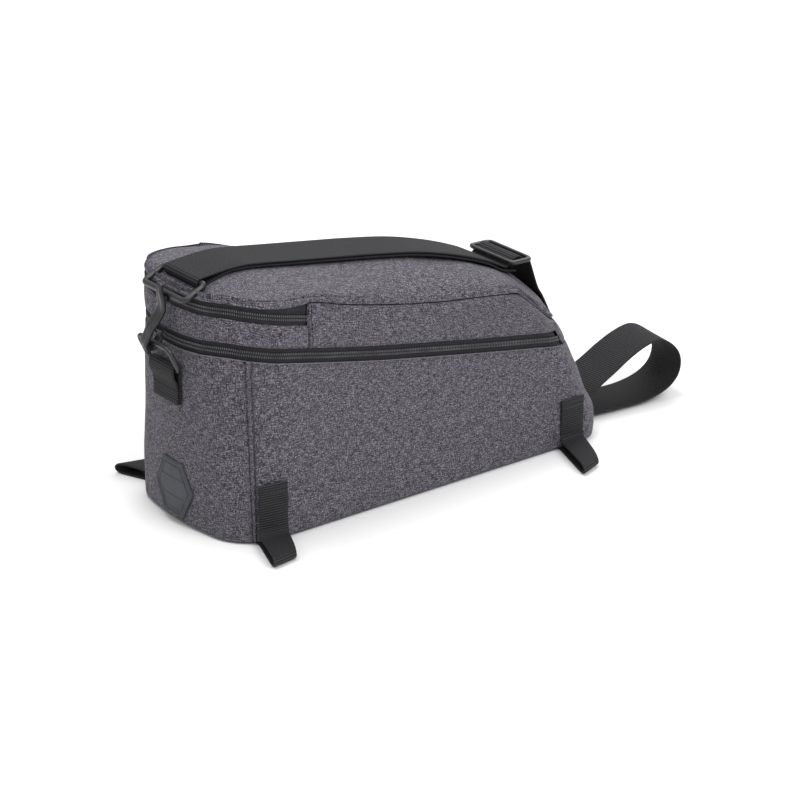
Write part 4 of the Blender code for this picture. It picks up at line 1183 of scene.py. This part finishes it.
def adjuster():
    """A three-bar slide: a rounded frame with swollen sides, and its middle bar."""
    centre = np.array([SLIDE_X * BODY_LENGTH, 0.0, SLIDE_Z * BODY_HEIGHT])
    inner = STRAP_WIDTH + 0.003
    outer = inner + 0.0052
    half = np.array([(SLIDE_LENGTH - 0.0034) / 2, outer / 2, 0.0])
    loop = rounded_loop([centre + half * way for way in
                         ((-1, -1, 0), (1, -1, 0), (1, 1, 0), (-1, 1, 0))], 0.005)
    loop = even_path(np.concatenate([loop, loop[:1]]), 0.001)[:-1]
    swell = np.clip((np.abs(loop[:, 1]) - inner / 2) / 0.002, 0, 1)
    along = unit(np.roll(loop, -1, 0) - np.roll(loop, 1, 0))
    sideways = np.cross((0.0, 0.0, 1.0), along)
    loop[:, 2] += 0.0003 * (1 - swell)
    carry("strap_adjuster_frame", loop, sideways * (0.0016 + 0.0010 * swell)[:, None],
          round_section(0.0036, 3.0, 20), "plastic", ("strap_adjuster",), closed=True)
    y = np.linspace(-0.5, 0.5, 40) * outer
    carry("strap_adjuster_bar", columns(centre[0], y, centre[2] - 0.0004), (0.0016, 0.0, 0.0),
          round_section(0.0025, 3.0, 18), "plastic")


class TRUNKBAG_OT_hardware(bpy.types.Operator):
    """Make the ring, the swivel hook with its eye and gate, and the strap's adjuster"""
    bl_idname = "trunk_bag.hardware"
    bl_label = "Hardware"

    def execute(self, context):
        low, high, across = ring_places()
        hoop("rear_ring_bar", low, high, across, 0.006, high - low, RING_WIRE, "rear_ring")
        top, low, across = eye_places()
        hoop("hook_eye_bar", top, low, across, 0.0048, top - low, EYE_WIRE, "hook_eye")
        hook(low)
        adjuster()
        return {"FINISHED"}


class TRUNKBAG_OT_label(bpy.types.Operator):
    """Make the plain six-sided label with its double raised border"""
    bl_idname = "trunk_bag.label"
    bl_label = "Label"

    def execute(self, context):
        ring = np.radians(np.arange(0, 360, 60))
        corner = np.stack([np.cos(ring), np.sin(ring)], 1)
        s = np.linspace(0, 1, 40, endpoint=False)[:, None]
        edge = np.concatenate([a + (b - a) * s for a, b in zip(corner, np.roll(corner, -1, 0))])
        size = np.concatenate([[1.0, 1.0, 0.998, 0.99], np.linspace(0.98, 0.02, 74)])[:, None]
        raised = np.full((78, 1), LABEL_THICK)
        raised[:3, 0] = 0.0, 0.0008, 0.0012
        raised[4:] += (bump(size[4:] - 0.92, 0.030, 4)
                       + bump(size[4:] - 0.79, 0.018, 4)) * LABEL_MARK
        y = edge[None, :, 0] * size * LABEL_SIDE
        z = edge[None, :, 1] * size * LABEL_SIDE + LABEL_CENTRE
        for centre in (0.0078, -0.0078):
            bar = (np.clip((0.62 * LABEL_SIDE - np.abs(y)) / 0.0006, 0, 1)
                   * np.clip((0.0010 - np.abs(z - LABEL_CENTRE - centre)) / 0.0005, 0, 1))
            raised = raised + bar * 0.0006
        ox, oy = outline(np.linspace(0, 0.6, 900), LABEL_CENTRE)
        x = np.interp(np.abs(y), -oy, ox) - 0.0016 - raised
        grid_piece("label_plate", columns(x, y, z)[:, ::-1], "label", ("label",), around=True,
                   capped=True)
        return {"FINISHED"}


def set_up(name, data, where=(0.0, 0.0, 0.0), way=None):
    """Put something of the stage into the scene, looking along way."""
    item = bpy.data.objects.new(name, data)
    item.location = Vector(where)
    if way is not None:
        item.rotation_euler = Vector(way).to_track_quat("-Z", "Y").to_euler()
    bpy.context.scene.collection.objects.link(item)
    return item


class TRUNKBAG_OT_stage(bpy.types.Operator):
    """Make the floor, the soft lights, the pale surroundings and the camera"""
    bl_idname = "trunk_bag.stage"
    bl_label = "Stage"

    def execute(self, context):
        look = context.scene.trunk_bag_look
        paint = tuple(look.floor)
        mesh = bpy.data.meshes.new("floor")
        way = (-FLOOR_REACH, FLOOR_REACH)
        mesh.from_pydata([(x, y, 0.0) for y in way for x in way], [], [(0, 1, 3, 2)])
        f = Finish("floor_paint", paint, 0.9)
        grain = f.noise(f.spot(), 3.0)
        f.paint(f.mix(grain.ramp(0.2, 0.8), paint, tuple(0.98 * c for c in paint)))
        mesh.materials.append(f.material)
        set_up("floor", mesh)
        world = bpy.data.worlds.new("pale_room")
        world.use_nodes = True
        sky = world.node_tree.nodes["Background"].inputs
        sky[0].default_value = (1.0, 1.0, 1.0, 1)
        sky[1].default_value = SKY_LIGHT
        context.scene.world = world
        context.scene.view_settings.view_transform = "Standard"
        target = CAMERA_AIM - ORIGIN
        turn = math.radians(CAMERA_TURN)
        rise = math.radians(CAMERA_RISE)
        back = np.array([-math.sin(turn) * math.cos(rise), -math.cos(turn) * math.cos(rise),
                         math.sin(rise)])
        camera = bpy.data.cameras.new("camera")
        camera.sensor_width = 36.0
        camera.lens = 144.0
        camera.clip_end = 60.0
        camera.dof.use_dof = False
        context.scene.camera = set_up("camera", camera, target + back * look.camera_distance, -back)
        for name, where, size, power in LAMPS:
            lamp = bpy.data.lights.new(name, "AREA")
            lamp.shape = "DISK"
            lamp.size = size
            lamp.energy = power
            set_up(name, lamp, where, np.subtract(LAMP_AIM, where))
        return {"FINISHED"}


STEPS = (TRUNKBAG_OT_lower_body, TRUNKBAG_OT_band, TRUNKBAG_OT_zips, TRUNKBAG_OT_lid,
         TRUNKBAG_OT_webbing, TRUNKBAG_OT_hardware, TRUNKBAG_OT_label, TRUNKBAG_OT_stage)


class TRUNKBAG_PT_panel(bpy.types.Panel):
    """Sizes, colours and pieces of the trunk bag"""
    bl_idname = "TRUNKBAG_PT_panel"
    bl_label = "Trunk Bag"
    bl_space_type = "VIEW_3D"
    bl_region_type = "UI"
    bl_category = "Trunk Bag"

    def draw(self, context):
        look = context.scene.trunk_bag_look
        for key in look.bl_rna.properties.keys():
            if key not in ("rna_type", "name"):
                self.layout.prop(look, key)
        for step in STEPS:
            self.layout.operator(step.bl_idname)


def register():
    for item in (TRUNKBAG_PG_look, *STEPS, TRUNKBAG_PT_panel):
        bpy.utils.register_class(item)
    bpy.types.Scene.trunk_bag_look = PointerProperty(type=TRUNKBAG_PG_look)


def unregister():
    del bpy.types.Scene.trunk_bag_look
    for item in (TRUNKBAG_PT_panel, *reversed(STEPS), TRUNKBAG_PG_look):
        bpy.utils.unregister_class(item)


def main():
    """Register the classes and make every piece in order."""
    for name in ("Cube", "Light", "Camera"):
        if name in bpy.data.objects:
            bpy.data.objects.remove(bpy.data.objects[name])
    register()
    for step in STEPS:
        group, name = step.bl_idname.split(".")
        getattr(getattr(bpy.ops, group), name)()


if __name__ == "__main__":
    main()
